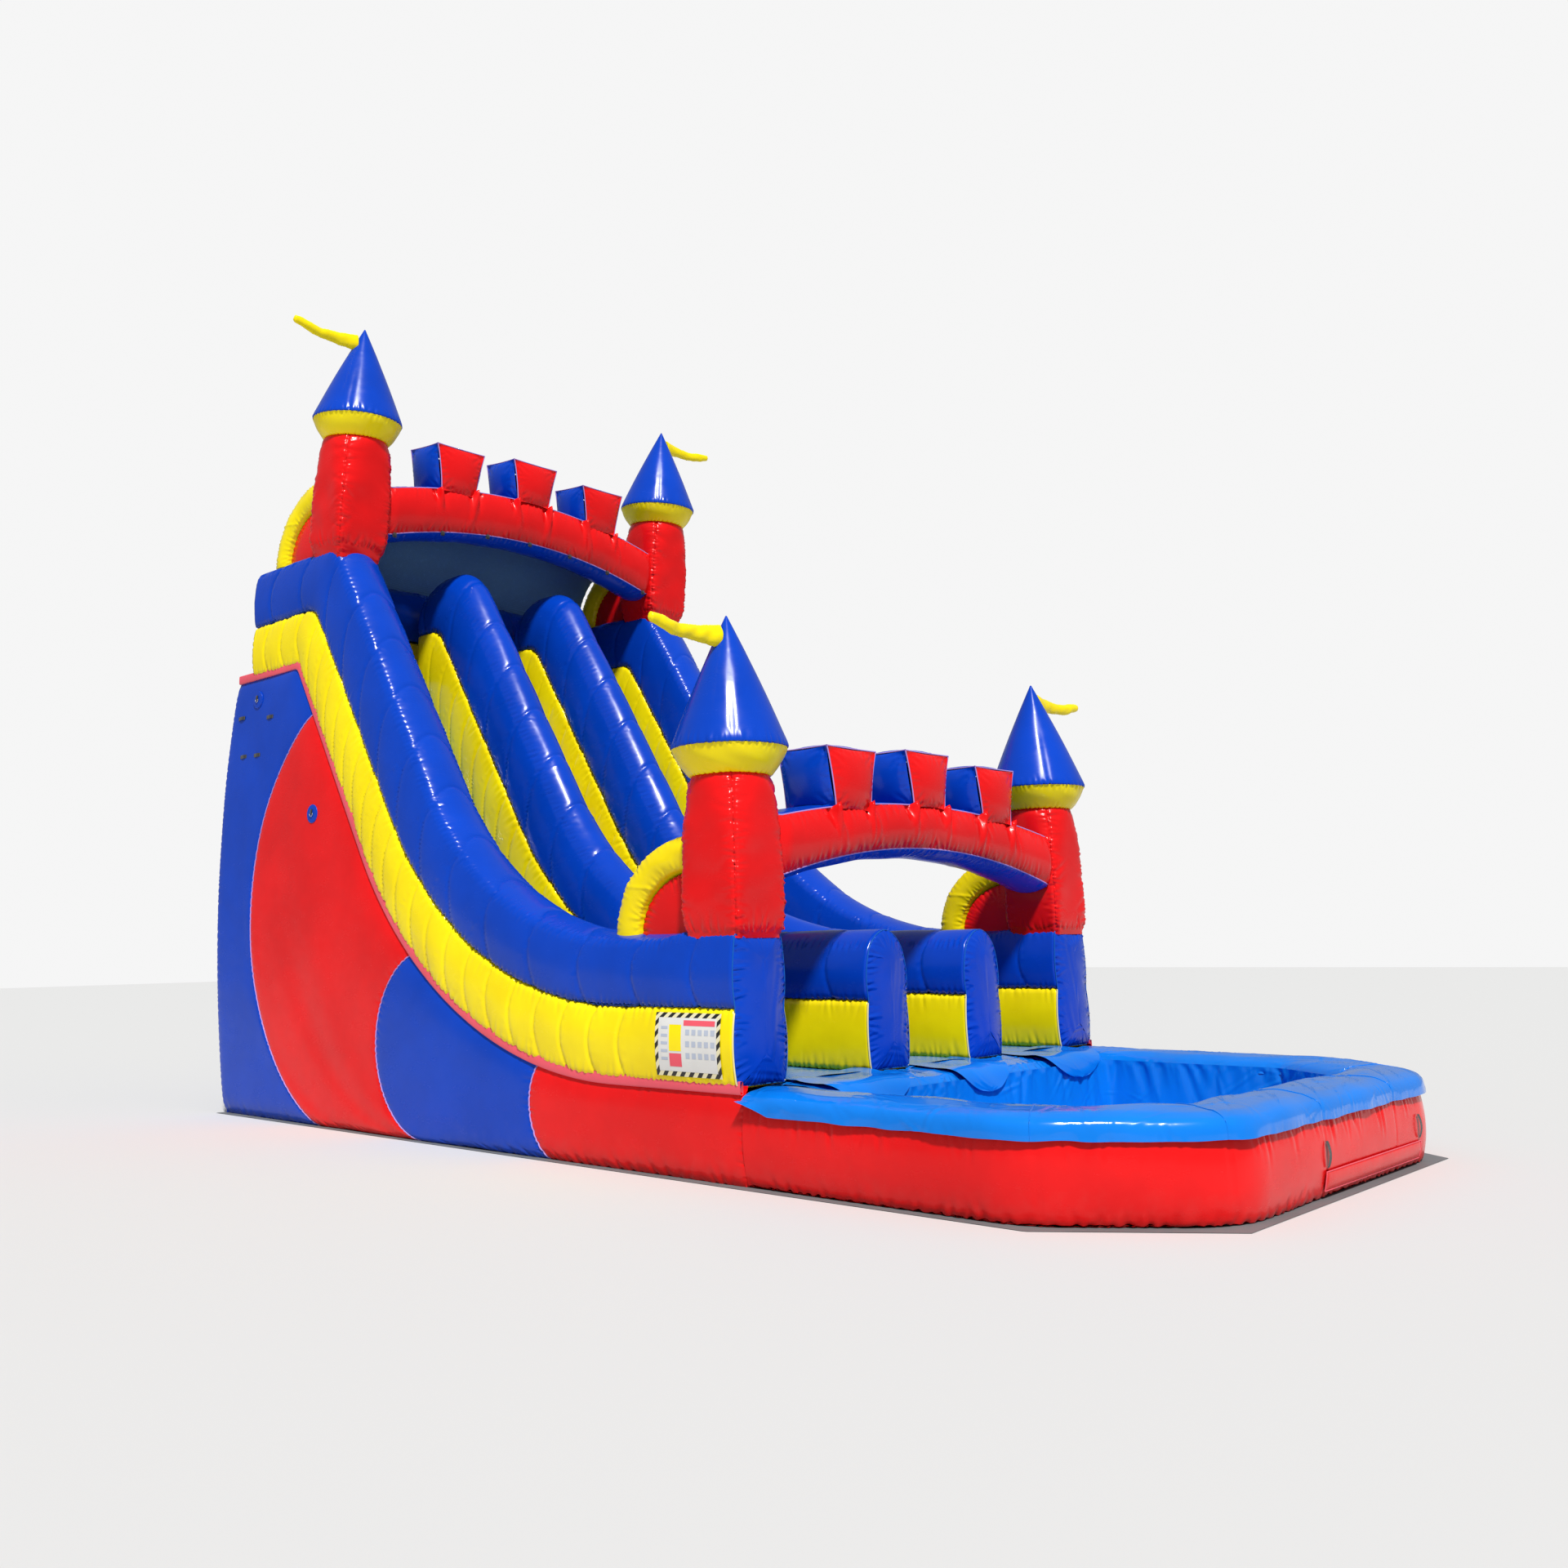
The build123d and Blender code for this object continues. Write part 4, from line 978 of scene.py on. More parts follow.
def tower_top(name, side, front, foot, seed):
    """Yellow cuff and blue cone, each with its own puckered rim."""
    rng, count = np.random.default_rng(seed), 240
    place = np.array([side * TOWER_PITCH, front + TOWER_HALF, foot + BODY_HEIGHT])
    _, _, cuff_radius, cone_radius = girth(name)
    share = np.linspace(0, 1, 26)
    radius = cuff_radius - 0.03 + (cone_radius - cuff_radius + 0.018) * share ** 0.85
    radius += 0.012 * np.sin(pi * share)
    under = np.linspace(0.16, 1, 6)[:-1] * radius[0]
    height = np.concatenate([np.full(len(under), 0.004), share * CUFF_HEIGHT])
    points = turned(np.concatenate([under, radius]), height, count)
    cuff = Skin(points, closed=True, flip=True)
    cuff.pucker_row(rng, len(points) - 1, 0.026, 0.09, 0.05, slant=0.1, side=-1)
    cuff.pucker_row(rng, len(under), 0.016, 0.08, 0.045, side=1)
    cuff.waves(rng, 0.006, 0.4)
    cuff_shape = leaning(cuff.shape() + place, foot)
    piece(f"cuff_{name}", [(cuff_shape, YELLOW, True)], [f"tower_cuff_{name}"])
    share = np.concatenate([np.linspace(0, 0.12, 14), np.linspace(0.12, 1, 62)[1:]])
    radius = cone_radius * (1 - share) + 0.012 * np.sin(pi * share) + 0.006
    radius -= 0.012 * np.exp(-share * CONE_HEIGHT / 0.02)
    under = np.linspace(0.5, 1, 5)[:-1] * radius[0]
    rows = np.concatenate([under, radius, [0.0005]])
    height = np.concatenate([np.full(len(under), 0.004), share * CONE_HEIGHT, [CONE_HEIGHT + 0.004]])
    cone = Skin(turned(rows, height, count), closed=True, flip=True)
    cone.pucker_row(rng, len(under), 0.020, 0.14, 0.05, slant=0.1, side=1)
    taper = np.clip(1 - cone.along / CONE_HEIGHT, 0, 1)
    for column in range(count // 8, count, count // 4):  # four seams up the cone
        d = np.abs((np.arange(count + 1) - column + count // 2) % count - count // 2) / count * 2 * pi
        cone.rise -= 0.004 * np.exp(-(d[None] * (0.05 + taper * cone_radius) / 0.02) ** 2) * np.sqrt(taper)
    cone.rise *= np.clip((cone.along[-1:] - cone.along) / 0.12, 0, 1)
    shape = leaning(cone.shape() + place + np.array([0, 0, CUFF_HEIGHT]), foot)
    piece(f"cone_{name}", [(shape, BLUE, True)], [f"tower_cone_{name}"])


def flag(side, front, foot, seed):
    """Wavy pennant, fat at the cone and thin at its tip, with folds across it."""
    rng = np.random.default_rng(seed)
    share = np.linspace(0, 1, 90)
    reach = 0.085 + 0.68 * share
    top = np.interp(reach, (0.085, 0.27, 0.50, 0.66, 0.765), (-0.075, -0.098, -0.122, -0.095, -0.092))
    low = np.interp(reach, (0.085, 0.32, 0.56, 0.70, 0.765), (-0.235, -0.215, -0.213, -0.178, -0.160))
    soften(top, 6)
    soften(low, 6)
    middle, half = (top + low) / 2, (top - low) / 2
    thick = 0.045 * np.clip(half / half.max(), 0, 1) ** 0.7
    turn = np.linspace(0, 2 * pi, 49)
    points = grid_of(side * reach[:, None], thick[:, None] * np.cos(turn) + 0.02 * np.sin(5 * share)[:, None],
                     middle[:, None] + half[:, None] * np.sin(turn))
    points = closed_ends(points, 0.012, 0.015)[0]
    skin = Skin(points, closed=True, flip=side > 0)
    for column in (12, 36):
        skin.pucker(rng, column, 0.012, 0.08, 0.034, slant=0.4, groove=0.002)
    skin.rise *= np.clip(np.interp(skin.along, (0, 0.05, 0.45, 0.75), (0.4, 1, 0.7, 0.25)), 0, 1)
    skin.waves(rng, 0.006, 0.12)
    apex = foot + BODY_HEIGHT + CUFF_HEIGHT + CONE_HEIGHT
    return leaning(skin.shape() + np.array([side * TOWER_PITCH, front + TOWER_HALF, apex]), foot)


def towers():
    flags, seams = [], []
    for number, (name, (side, front, foot)) in enumerate(TOWERS.items()):
        seams += tower_body(name, side, front, foot, 140 + number)
        tower_top(name, side, front, foot, 150 + number)
        flags.append((flag(side, front, foot, 160 + number), YELLOW, side > 0))
    piece("pennants", flags, ["tower_flags"])
    welt("shaft_welts", seams, RED, 0.004)


towers()


# ---- arches and battlements ----
ARCH_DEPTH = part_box("front_arch")[1][1] - FACE
ARCHES = {  # foot, front, half span, and the edges' heights above the foot at the ends and in the middle
    "front": (TOP_LOW, FACE, 1.752, (0.345, 0.58), (0.79, 0.95)),
    "rear": (TOP_HIGH, REAR_FRONT, 1.72, (0.15, 0.39), (0.65, 0.86)),
}
MERLON_PITCH = 0.97
MERLON_FOOT = 0.22  # half widths
MERLON_HEAD = 0.305
MERLON_HEIGHT = 0.42


def arch_height(x, edge, half):
    """Height at x of the arc that has an edge's heights at its ends and in the middle."""
    end, middle = edge
    rise = middle - end
    radius = (half ** 2 + rise ** 2) / (2 * rise)
    return middle - radius + np.sqrt(radius ** 2 - np.asarray(x, float) ** 2)


def arch_beam(name, foot, front, half, lower, upper, seed):
    """Beam of four sewn faces; the red front is gathered under each corner of the battlements."""
    rng = np.random.default_rng(seed)
    xs = np.linspace(-half - 0.16, half + 0.16, 310)
    inside = np.clip(xs, -half, half)
    low = foot + arch_height(inside, lower, half) + 0.03
    high = foot + arch_height(inside, upper, half) - 0.012
    into = np.clip((np.abs(xs) - half + 0.05) / 0.2, 0, 1) ** 2  # the beam narrows into the towers
    near, far = front + 0.045 + 0.09 * into, front + ARCH_DEPTH - 0.045 - 0.09 * into
    steps = 30
    swells = (0.055, 0.03, 0.055, 0.07)  # front, top, back, underside

    share = np.linspace(0, 1, steps)[None, :, None]
    corners = [grid_of(xs, y, z) for y, z in ((near, low), (near, high), (far, high), (far, low))]
    outward = [np.array(v, float) for v in ((0, -1, 0), (0, 0, 1), (0, 1, 0), (0, 0, -1))]
    parts = []
    for side in range(4):
        points = corners[side][:, None] * (1 - share) + corners[(side + 1) % 4][:, None] * share
        skin = Skin(points + outward[side] * swells[side] * (4 * share * (1 - share)) ** 0.8, flip=True)
        skin.pucker_edges(rng, 0.029, 0.18, 0.055, slant=0.3)
        if side in (0, 2):
            gathers(skin, xs, steps, rng, side == 0)
        skin.waves(rng, 0.008, 0.5)
        skin.rise *= np.clip(np.minimum(np.arange(steps), steps - 1 - np.arange(steps)), 0, 1)
        parts.append((leaning(skin.shape(), foot), RED if side % 2 == 0 else BLUE, True))
    piece(f"{name}_beam", parts, [f"{name}_arch"])
    seams = [parts[0][0][:, 0], parts[2][0][:, 0]]
    last_foot = MERLON_PITCH + MERLON_FOOT - 0.01
    for mark in (-1.5, -0.5, 0.5, 1.5):  # the upper front seam shows between the battlements
        between = np.abs(xs - mark * MERLON_PITCH) < MERLON_PITCH / 2 - MERLON_FOOT + 0.01
        if abs(mark) > 1:
            between = (xs * mark > last_foot * abs(mark)) & (np.abs(xs) < half + 0.06)
        seams.append(parts[0][0][between, -1])
    return seams


def gathers(skin, xs, steps, rng, top_is_last):
    """Folds that run down an arch's face from the battlements' corners."""
    share = np.linspace(0, 1, steps)
    away = (1 - share) if top_is_last else share
    for middle in (-MERLON_PITCH, 0, MERLON_PITCH):
        for corner in (-MERLON_FOOT, MERLON_FOOT):
            for _ in range(3):
                lean = rng.uniform(-0.12, 0.12)
                width = rng.uniform(0.016, 0.036)
                far = rng.uniform(0.45, 1.0)
                x = (xs[:, None] - middle - corner - lean * away[None] - rng.uniform(-0.02, 0.02)) / width
                fade = np.clip(1 - away / far, 0, 1) ** 1.1
                skin.rise -= 0.055 * fade[None] * (np.exp(-x * x) - 0.5 * np.exp(-(x / 2.2) ** 2))


def merlon(x, base, top, foot_height, front, rng):
    """One battlement: red front and back, blue sides and top, each face a pinched pillow.
    base and top are heights; the foot is narrower than the head. It leans with its arch."""
    near, far = front + 0.022, front + ARCH_DEPTH - 0.022
    low, high = ([np.array([x + side * (half - 0.012), y, z])
                  for side, y in ((-1, near), (1, near), (1, far), (-1, far))]
                 for half, z in ((MERLON_FOOT, base), (MERLON_HEAD, top)))
    faces = [(low[i], low[(i + 1) % 4], high[(i + 1) % 4], high[i], *((RED, 0.05), (BLUE, 0.07))[i % 2])
             for i in range(4)]
    faces.append((*high, BLUE, 0.04))
    parts, count = [], 36
    share = np.linspace(0, 1, count)
    for a, b, c, d, material, swell in faces:
        u, v = share[:, None, None], share[None, :, None]
        points = a * (1 - u) * (1 - v) + b * u * (1 - v) + c * u * v + d * (1 - u) * v
        out = np.cross(b - a, d - a)
        out /= np.linalg.norm(out)
        across = (4 * share * (1 - share)) ** 0.75
        crown = np.outer(across, across)
        pinch = np.outer(across, 1 - across) + np.outer(1 - across, across)
        middle = (a + b + c + d) / 4
        points = points + out * (swell * crown)[..., None] + (middle - points) * (0.055 * pinch)[..., None]
        skin = Skin(points)
        for column, side in ((0, 1), (count - 1, -1)):
            skin.pucker(rng, column, 0.017, 0.14, 0.04, slant=0.4, side=side)
            skin.pucker_row(rng, column, 0.017, 0.14, 0.04, slant=0.4, side=side)
        corner_folds(skin, share)
        skin.rise *= np.minimum(1, 8 * np.outer(across, across))
        parts.append((leaning(skin.shape(), foot_height), material, False))
    head = parts[4][0]
    edges = [parts[i][0][0] for i in range(4)] + [head[0], head[-1], head[:, 0], head[:, -1]]
    return parts, edges


def corner_folds(skin, share):
    """Short folds that run in from a face's four corners."""
    u, v = np.meshgrid(share, share, indexing="ij")
    for cu, cv in ((0, 0), (0, 1), (1, 0), (1, 1)):
        du, dv = np.abs(u - cu), np.abs(v - cv)
        reach = np.hypot(du, dv)
        for bend in (0.25, 0.8, 1.32):
            off = reach * np.sin(np.arctan2(dv, du) - bend)
            fade = np.clip(1 - reach / 0.42, 0, 1) * (reach > 0.02)
            skin.rise -= 0.016 * np.exp(-(off / 0.035) ** 2) * fade


def arches():
    seams = []
    for number, (name, spec) in enumerate(ARCHES.items()):
        seams += arch_beam(name, *spec, 170 + number)
    blocks = []
    for number, (foot, front, half, _, upper) in enumerate(ARCHES.values()):
        rng = np.random.default_rng(180 + number)
        for x in (-MERLON_PITCH, 0, MERLON_PITCH):
            base = foot + float(arch_height(abs(x) + MERLON_FOOT, upper, half)) - 0.03
            top = foot + float(arch_height(x, upper, half)) + MERLON_HEIGHT - 0.02
            parts, edges = merlon(x, base, top, foot, front, rng)
            blocks += parts
            seams += edges
    piece("battlements", blocks, ["merlons"])
    welt("arch_welts", seams, LILAC, 0.0055)


arches()


# ---- buttresses and screen ----
BUTTRESS_HALF = 0.16  # half of a buttress's width
BUTTRESS_TUBE = 0.14  # half of its depth
BUTTRESSES = {"front": (0.76, 0.68), "rear": (0.85, 0.76)}  # reach behind the tower, height


def buttresses():
    """Yellow quarter arches behind the towers, each round a red web."""
    tubes, webs = [], []
    for number, (name, (side, front, foot)) in enumerate(TOWERS.items()):
        rng = np.random.default_rng(190 + number)
        reach, height = BUTTRESSES[name.split("_")[0]]
        start = front + 2 * TOWER_HALF + 0.02
        turn = np.linspace(0, pi / 2, 76)
        drop = -0.06 if name.startswith("front") else -0.02
        path = np.stack([(reach - BUTTRESS_TUBE) * np.cos(turn),
                         (height - BUTTRESS_TUBE) * np.sin(turn)], axis=1)
        path = np.concatenate([[(path[0, 0], drop)], path, [(-0.09, path[-1, 1] - 0.004)]])
        run = unit(np.gradient(path, axis=0))
        out = np.stack([run[:, 1], -run[:, 0]], axis=1)
        half = BUTTRESS_HALF - 0.03
        ring, marks = tube_section(half, -0.105, half, 0.105, (0.03, 0.033, 0.03, 0.033), 0.012)
        skin = Skin(grid_of(side * TOWER_PITCH + ring[:, 0],
                            start + path[:, 0, None] + out[:, 0, None] * ring[:, 1],
                            foot + path[:, 1, None] + out[:, 1, None] * ring[:, 1]), closed=True)
        for mark in marks:
            skin.pucker(rng, mark, 0.017, 0.13, 0.042, slant=0.2, groove=0.003)
        skin.crease(rng, skin.along[:, 0].max() * 0.45, 0.006, 0.01, 0.003, 0.06, 0.05)
        skin.waves(rng, 0.006, 0.3)
        tubes.append((skin.shape(), YELLOW, False))
        inner = np.stack([(reach - 2 * BUTTRESS_TUBE + 0.02) * np.cos(turn),
                          (height - 2 * BUTTRESS_TUBE + 0.02) * np.sin(turn)], axis=1)
        for face in (-1, 1):
            grid = inner[:, None] * np.linspace(1, 0, 24)[None, :, None]
            share = np.linspace(0, 1, 24)
            bulge = 0.035 * (1 - (1 - share) ** 4)
            web = grid_of(side * TOWER_PITCH + face * (BUTTRESS_HALF - 0.065 + bulge),
                          start + grid[..., 0], foot - 0.02 + grid[..., 1])
            cloth_skin = Skin(web, flip=face < 0)
            cloth_skin.pucker(rng, 0, 0.018, 0.18, 0.05, side=1)
            webs.append((cloth_skin.shape(), RED, face < 0))
    piece("buttress_skins", tubes, ["buttress_tubes"])
    piece("buttress_infill", webs, ["buttress_webs"])


def screen():
    """Mesh screen from the rear arch back and down to the rear wall, slack and wrinkled at its top."""
    rng = np.random.default_rng(200)
    reach, height = BUTTRESSES["rear"]
    low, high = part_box("rear_net")
    turn = np.linspace(0, pi / 2, 120)
    xs = np.linspace(low[0] - 0.03, high[0] + 0.03, 260)
    points = grid_of(xs, low[1] + 0.01 + (reach - 0.03) * np.cos(turn)[:, None],
                     TOP_HIGH - 0.03 + (height - 0.01) * np.sin(turn)[:, None])
    top = points[-1] + np.linspace(0, 1, 10)[1:, None, None] * np.array([0, -0.13, 0.0])
    points = np.concatenate([points, top])  # its upper edge is sewn to the back of the arch
    skin = Skin(points)
    skin.pucker_row(rng, len(turn) - 1, 0.034, 0.45, 0.10, slant=1.0, side=-1)
    skin.pucker_row(rng, len(turn) - 1, 0.016, 0.25, 0.05, slant=0.6, side=-1)
    skin.pucker_edges(rng, 0.014, 0.25, 0.09, slant=0.5)
    skin.waves(rng, 0.02, 0.8)
    net = piece("net_screen", [(skin.shape(), NET, False)], ["rear_net"])


buttresses()
screen()


# ---- pool ----
POOL_SILL = 0.30  # depth of the sill at the foot of the lanes
POOL_CORNERS = np.array([
    (-HALF_WIDTH, FACE), (-HALF_WIDTH, FACE - 1.95), (-HALF_WIDTH + 0.7, POOL_FRONT),
    (HALF_WIDTH - 0.7, POOL_FRONT), (HALF_WIDTH, FACE - 1.95), (HALF_WIDTH, FACE)])
POOL_ROUND = 0.45  # bend of the wall's middle line at each corner
WALL_HALF = 0.24  # from the wall's middle line to its outer side
COVER_SEAMS = (2.02, 3.05, 4.2, 5.4, 6.45)  # distances along the wall's middle line
WALL_SECTION = tube_section(0.2, SHEET + 0.004, 0.208, POOL_TOP - 0.02, (0.04, 0.02, 0.03, 0), 0.018)


def turned_by(vector, angle):
    return np.array([vector[0] * cos(angle) - vector[1] * sin(angle),
                     vector[0] * sin(angle) + vector[1] * cos(angle)])


def pool_path(step=0.014):
    """Middle line of the pool's wall round its corners, and the outward direction at each point."""
    run = unit(np.diff(POOL_CORNERS, axis=0))
    inward = np.stack([-run[:, 1], run[:, 0]], axis=1)
    shared = inward[1:] + inward[:-1]
    shared /= 1 + (inward[1:] * inward[:-1]).sum(axis=1, keepdims=True)
    corners = POOL_CORNERS + WALL_HALF * np.concatenate([inward[:1], shared, inward[-1:]])
    points, outward = [], []
    place = corners[0]
    for i, ahead in enumerate(run):
        turn = 0.0 if i == len(run) - 1 else float(np.arccos(ahead @ run[i + 1]))
        end = corners[i + 1] - ahead * POOL_ROUND * tan(turn / 2)
        for share in np.linspace(0, 1, int(np.linalg.norm(end - place) / step) + 1)[:-1]:
            points.append(place + (end - place) * share)
            outward.append(-inward[i])
        centre = end + inward[i] * POOL_ROUND
        for angle in np.linspace(0, turn, int(turn * POOL_ROUND / step) + 2)[:-1]:
            outward.append(turned_by(-inward[i], angle))
            points.append(centre + POOL_ROUND * outward[-1])
        place = centre + POOL_ROUND * turned_by(-inward[i], turn)
    return np.array(points), np.array(outward)


def along_pool(path, outward, profile):
    """Grid of a profile of (outward distance, height) carried along the pool's wall."""
    grid = np.empty((len(path), len(profile), 3))
    grid[..., :2] = path[:, None] + outward[:, None] * profile[:, 0][None, :, None]
    grid[..., 2] = profile[:, 1]
    return grid


def slack_folds(skin, rng, count, depth, length, width):
    """Soft straight folds lying anywhere and any way on a slack sheet."""
    along, across = skin.along, skin.across
    for _ in range(count):
        row = rng.integers(0, along.shape[0])
        column = rng.integers(0, along.shape[1])
        turn = rng.uniform(0, pi)
        size = rng.uniform(0.4, 1.0)
        da, db = along - along[row, column], across - across[row, column]
        run = da * cos(turn) + db * sin(turn)
        off = (db * cos(turn) - da * sin(turn)) / (width * size)
        fold = np.exp(-off ** 2) - 0.5 * np.exp(-(off / 2.2) ** 2)
        skin.rise += depth * size * fold * np.exp(-(run / (length * size)) ** 2)


def grid_area(points):
    """Area of a grid's quads, as the sheet was cut."""
    a, b = points[1:, 1:] - points[:-1, :-1], points[1:, :-1] - points[:-1, 1:]
    return float(np.linalg.norm(np.cross(a, b), axis=2).sum() / 2)


def pool_wall(path, outward):
    """Red tube round the pool, gathered under the cover's hem, and the sill behind it."""
    rng = np.random.default_rng(210)
    outline, marks = WALL_SECTION
    skin = Skin(along_pool(path, outward, outline), closed=True)
    skin.pucker(rng, marks[1], 0.030, 0.30, 0.055, slant=0.15, side=0)
    skin.pucker(rng, marks[0], 0.020, 0.16, 0.10, slant=0.3, side=0)
    for place in COVER_SEAMS:
        skin.crease(rng, place, 0.004, 0.009, 0.003, 0.06, 0.06)
    skin.waves(rng, 0.012, 0.9)
    near, far = FACE - POOL_SILL + 0.03, FACE - 0.03
    sill, sill_marks = section([(near, SHEET), (far, SHEET), (far, POOL_TOP - 0.02), (near, POOL_TOP - 0.02)],
                               (0, 0.02, 0.02, 0.03))
    xs = np.linspace(-1.87, 1.87, 180)
    back = Skin(grid_of(xs[:, None], sill[:, 0], sill[:, 1]), closed=True)
    for mark in sill_marks:
        back.pucker(rng, mark, 0.01, 0.14, 0.06)
    piece("pool_tube", [(skin.shape(), RED, False), (back.shape(), RED, False)], ["pool_wall"])


def wall_face(heights):
    """How far the wall's outer side stands from its middle line at these heights."""
    outline, marks = WALL_SECTION
    outer = outline[marks[0]:marks[1] + 1]
    return np.interp(heights, outer[:, 1], outer[:, 0])


def pool_cover(path, outward):
    """Azure sheet over the top of the wall, sewn across at intervals, with a skirt loose outside."""
    rng = np.random.default_rng(220)
    profile = np.array([(0.262, -0.100), (0.262, -0.06), (0.256, -0.02), (0.235, 0.012), (0.16, 0.042),
                        (0.0, 0.056), (-0.15, 0.044), (-0.225, 0.012), (-0.262, -0.03), (-0.275, -0.07)])
    place = np.linspace(0, distances(profile)[-1], 52)
    profile = along_line(profile, place)
    soften(profile, 3)
    grid = along_pool(path, outward, profile + np.array([0, POOL_TOP]))
    skin = Skin(grid)
    along = skin.along[:, 0]
    hem = np.zeros(len(along))
    for _ in range(9):
        hem += rng.uniform(0.3, 1) * np.sin(2 * pi * along / rng.uniform(0.16, 0.9) + rng.uniform(0, 2 * pi))
    hem /= 4
    hang = np.clip(1 - place / 0.09, 0, 1)[None, :]
    skin.points[..., 2] += 0.006 * (hem[:, None] - 0.1) * hang
    loose = np.maximum(0, np.roll(hem, 9))[:, None] * hang ** 1.5
    skin.points[..., :2] += 0.012 * outward[:, None] * loose[..., None]
    end = np.clip(1 - along / 0.22, 0, 1)[:, None]  # the skirt's end turns up beside the left tower
    skin.points[..., 2] += 0.09 * end * hang
    skin.points[..., :2] += 0.05 * outward[:, None] * (end * hang)[..., None]
    for seam in COVER_SEAMS:
        skin.crease(rng, seam, 0.006, 0.008, 0.006, 0.09, 0.05)
    skin.pucker(rng, 0, 0.004, 0.10, 0.05, side=1)
    skin.pucker(rng, 51, 0.010, 0.14, 0.07, side=-1)
    slack_folds(skin, rng, 260, 0.008, 0.11, 0.014)
    skin.waves(rng, 0.012, 0.5)
    sides = skin.shape()
    rear = rear_cover(rng)
    cover = piece("pool_cover_sheet", [(sides, AZURE, False), (rear, AZURE, False)], ["pool_cover"])
    lines = [sides[int(np.argmin(np.abs(along - seam)))] + np.array([0, 0, 0.001]) for seam in COVER_SEAMS]
    welt("cover_seams", lines, AZURE, 0.003)


def rear_cover(rng):
    """The cover's rear strip, wet and rumpled at the foot of the lanes."""
    knots = np.array([(-0.335, -0.09), (-0.318, -0.02), (-0.28, 0.022), (-0.16, 0.045), (-0.05, 0.05),
                      (0.03, 0.052)])
    share = np.linspace(0, 1, 34)
    keys = np.linspace(0, 1, len(knots))
    y, z = (np.interp(share, keys, knots[:, k]) for k in (0, 1))
    xs = np.linspace(-1.86, 1.86, 280)
    skin = Skin(grid_of(xs[:, None], FACE + y, POOL_TOP + z))
    skin.pucker(rng, 0, 0.012, 0.2, 0.09, slant=0.6, side=1)
    skin.pucker(rng, 33, 0.012, 0.2, 0.07, slant=0.6, side=-1)
    slack_folds(skin, rng, 150, 0.011, 0.12, 0.016)
    skin.waves(rng, 0.014, 0.4)
    return skin.shape()


def pool_liner(path, outward):
    """Tub draped inside the wall in long hanging folds, lying on the ground sheet."""
    rng = np.random.default_rng(230)
    inner = path - outward * (WALL_HALF + 0.03)
    inner = inner[inner[:, 1] < FACE - POOL_SILL - 0.03]
    gap = np.linspace(inner[-1], inner[0], int(np.linalg.norm(inner[-1] - inner[0]) / 0.02))
    ring = np.concatenate([inner, gap[1:-1]])
    ring = round_off(ring, 40)
    ring = np.concatenate([ring, ring[:1]])
    ahead = unit(np.gradient(np.concatenate([ring[-2:-1], ring, ring[1:2]]), axis=0)[1:-1])
    inward = np.stack([-ahead[:, 1], ahead[:, 0]], axis=1)
    down = np.linspace(0, 1, 44)
    grid = np.empty((len(ring), len(down), 3))
    reach = 0.012 + 0.06 * down ** 1.4 + 0.05 * np.clip((down - 0.9) / 0.1, 0, 1) ** 2
    grid[..., :2] = ring[:, None] + inward[:, None] * reach[None, :, None]
    grid[..., 2] = POOL_TOP - 0.02 - (POOL_TOP - 0.02 - SHEET - 0.02) * (1 - (1 - down) ** 1.05)
    skin = Skin(grid)
    skin.pucker(rng, 0, 0.040, 0.62, 0.16, slant=0.18, side=1)
    skin.pucker(rng, 0, 0.016, 0.30, 0.06, slant=0.25, side=1)
    skin.pucker(rng, 43, 0.024, 0.30, 0.12, slant=0.3, side=-1)
    slack_folds(skin, rng, 220, 0.011, 0.16, 0.016)
    fade = np.clip(np.minimum(down / 0.06, (1 - down) / 0.04), 0, 1)
    skin.rise *= fade
    walls = skin.shape()
    rim = walls[:, -1]
    spine = rim.copy()
    spine[:, 0] = np.clip(rim[:, 0], -0.95, 0.95)
    spine[:, 1] = (rim[:, 1].min() + rim[:, 1].max()) / 2
    floor = Skin(pillow(rim, spine, (0, 0, 1), -0.008, 60))
    slack_folds(floor, rng, 120, 0.006, 0.2, 0.025)
    floor.rise *= np.clip(floor.across / 0.04, 0, 1)
    bottom = floor.shape()
    bottom[..., 2] = np.maximum(bottom[..., 2], SHEET + 0.004)
    liner = piece("pool_tub", [(walls, AZURE, False), (bottom, AZURE, False)], ["pool_liner"])


def tongue(low, high, rng):
    """A lane's round-ended tongue, which runs out over the sill and hangs into the pool."""
    half, middle = (high - low) / 2 - 0.012, (high + low) / 2
    knots = np.array([(0.2, 0.004), (0.02, 0.006), (-0.14, -0.006), (-0.27, 0.0), (-0.335, -0.03),
                      (-0.372, -0.10), (-0.388, -0.19)])
    place = np.linspace(0, distances(knots)[-1], 60)
    line = along_line(knots, place)
    soften(line, 20)
    to_end = place[-1] - place
    round_part = min(half, 0.33)
    wide = half * np.sqrt(np.clip(1 - (np.clip(round_part - to_end, 0, None) / round_part) ** 2, 0.0004, 1))
    share = np.linspace(-1, 1, 44)
    grid = grid_of(middle + wide[:, None] * share, FACE + line[:, :1], BASE_LOW + 0.012 + line[:, 1:])
    skin = Skin(grid)
    slack_folds(skin, rng, 16, 0.005, 0.12, 0.02)
    skin.waves(rng, 0.012, 0.4)
    return skin.shape(), grid_area(grid)


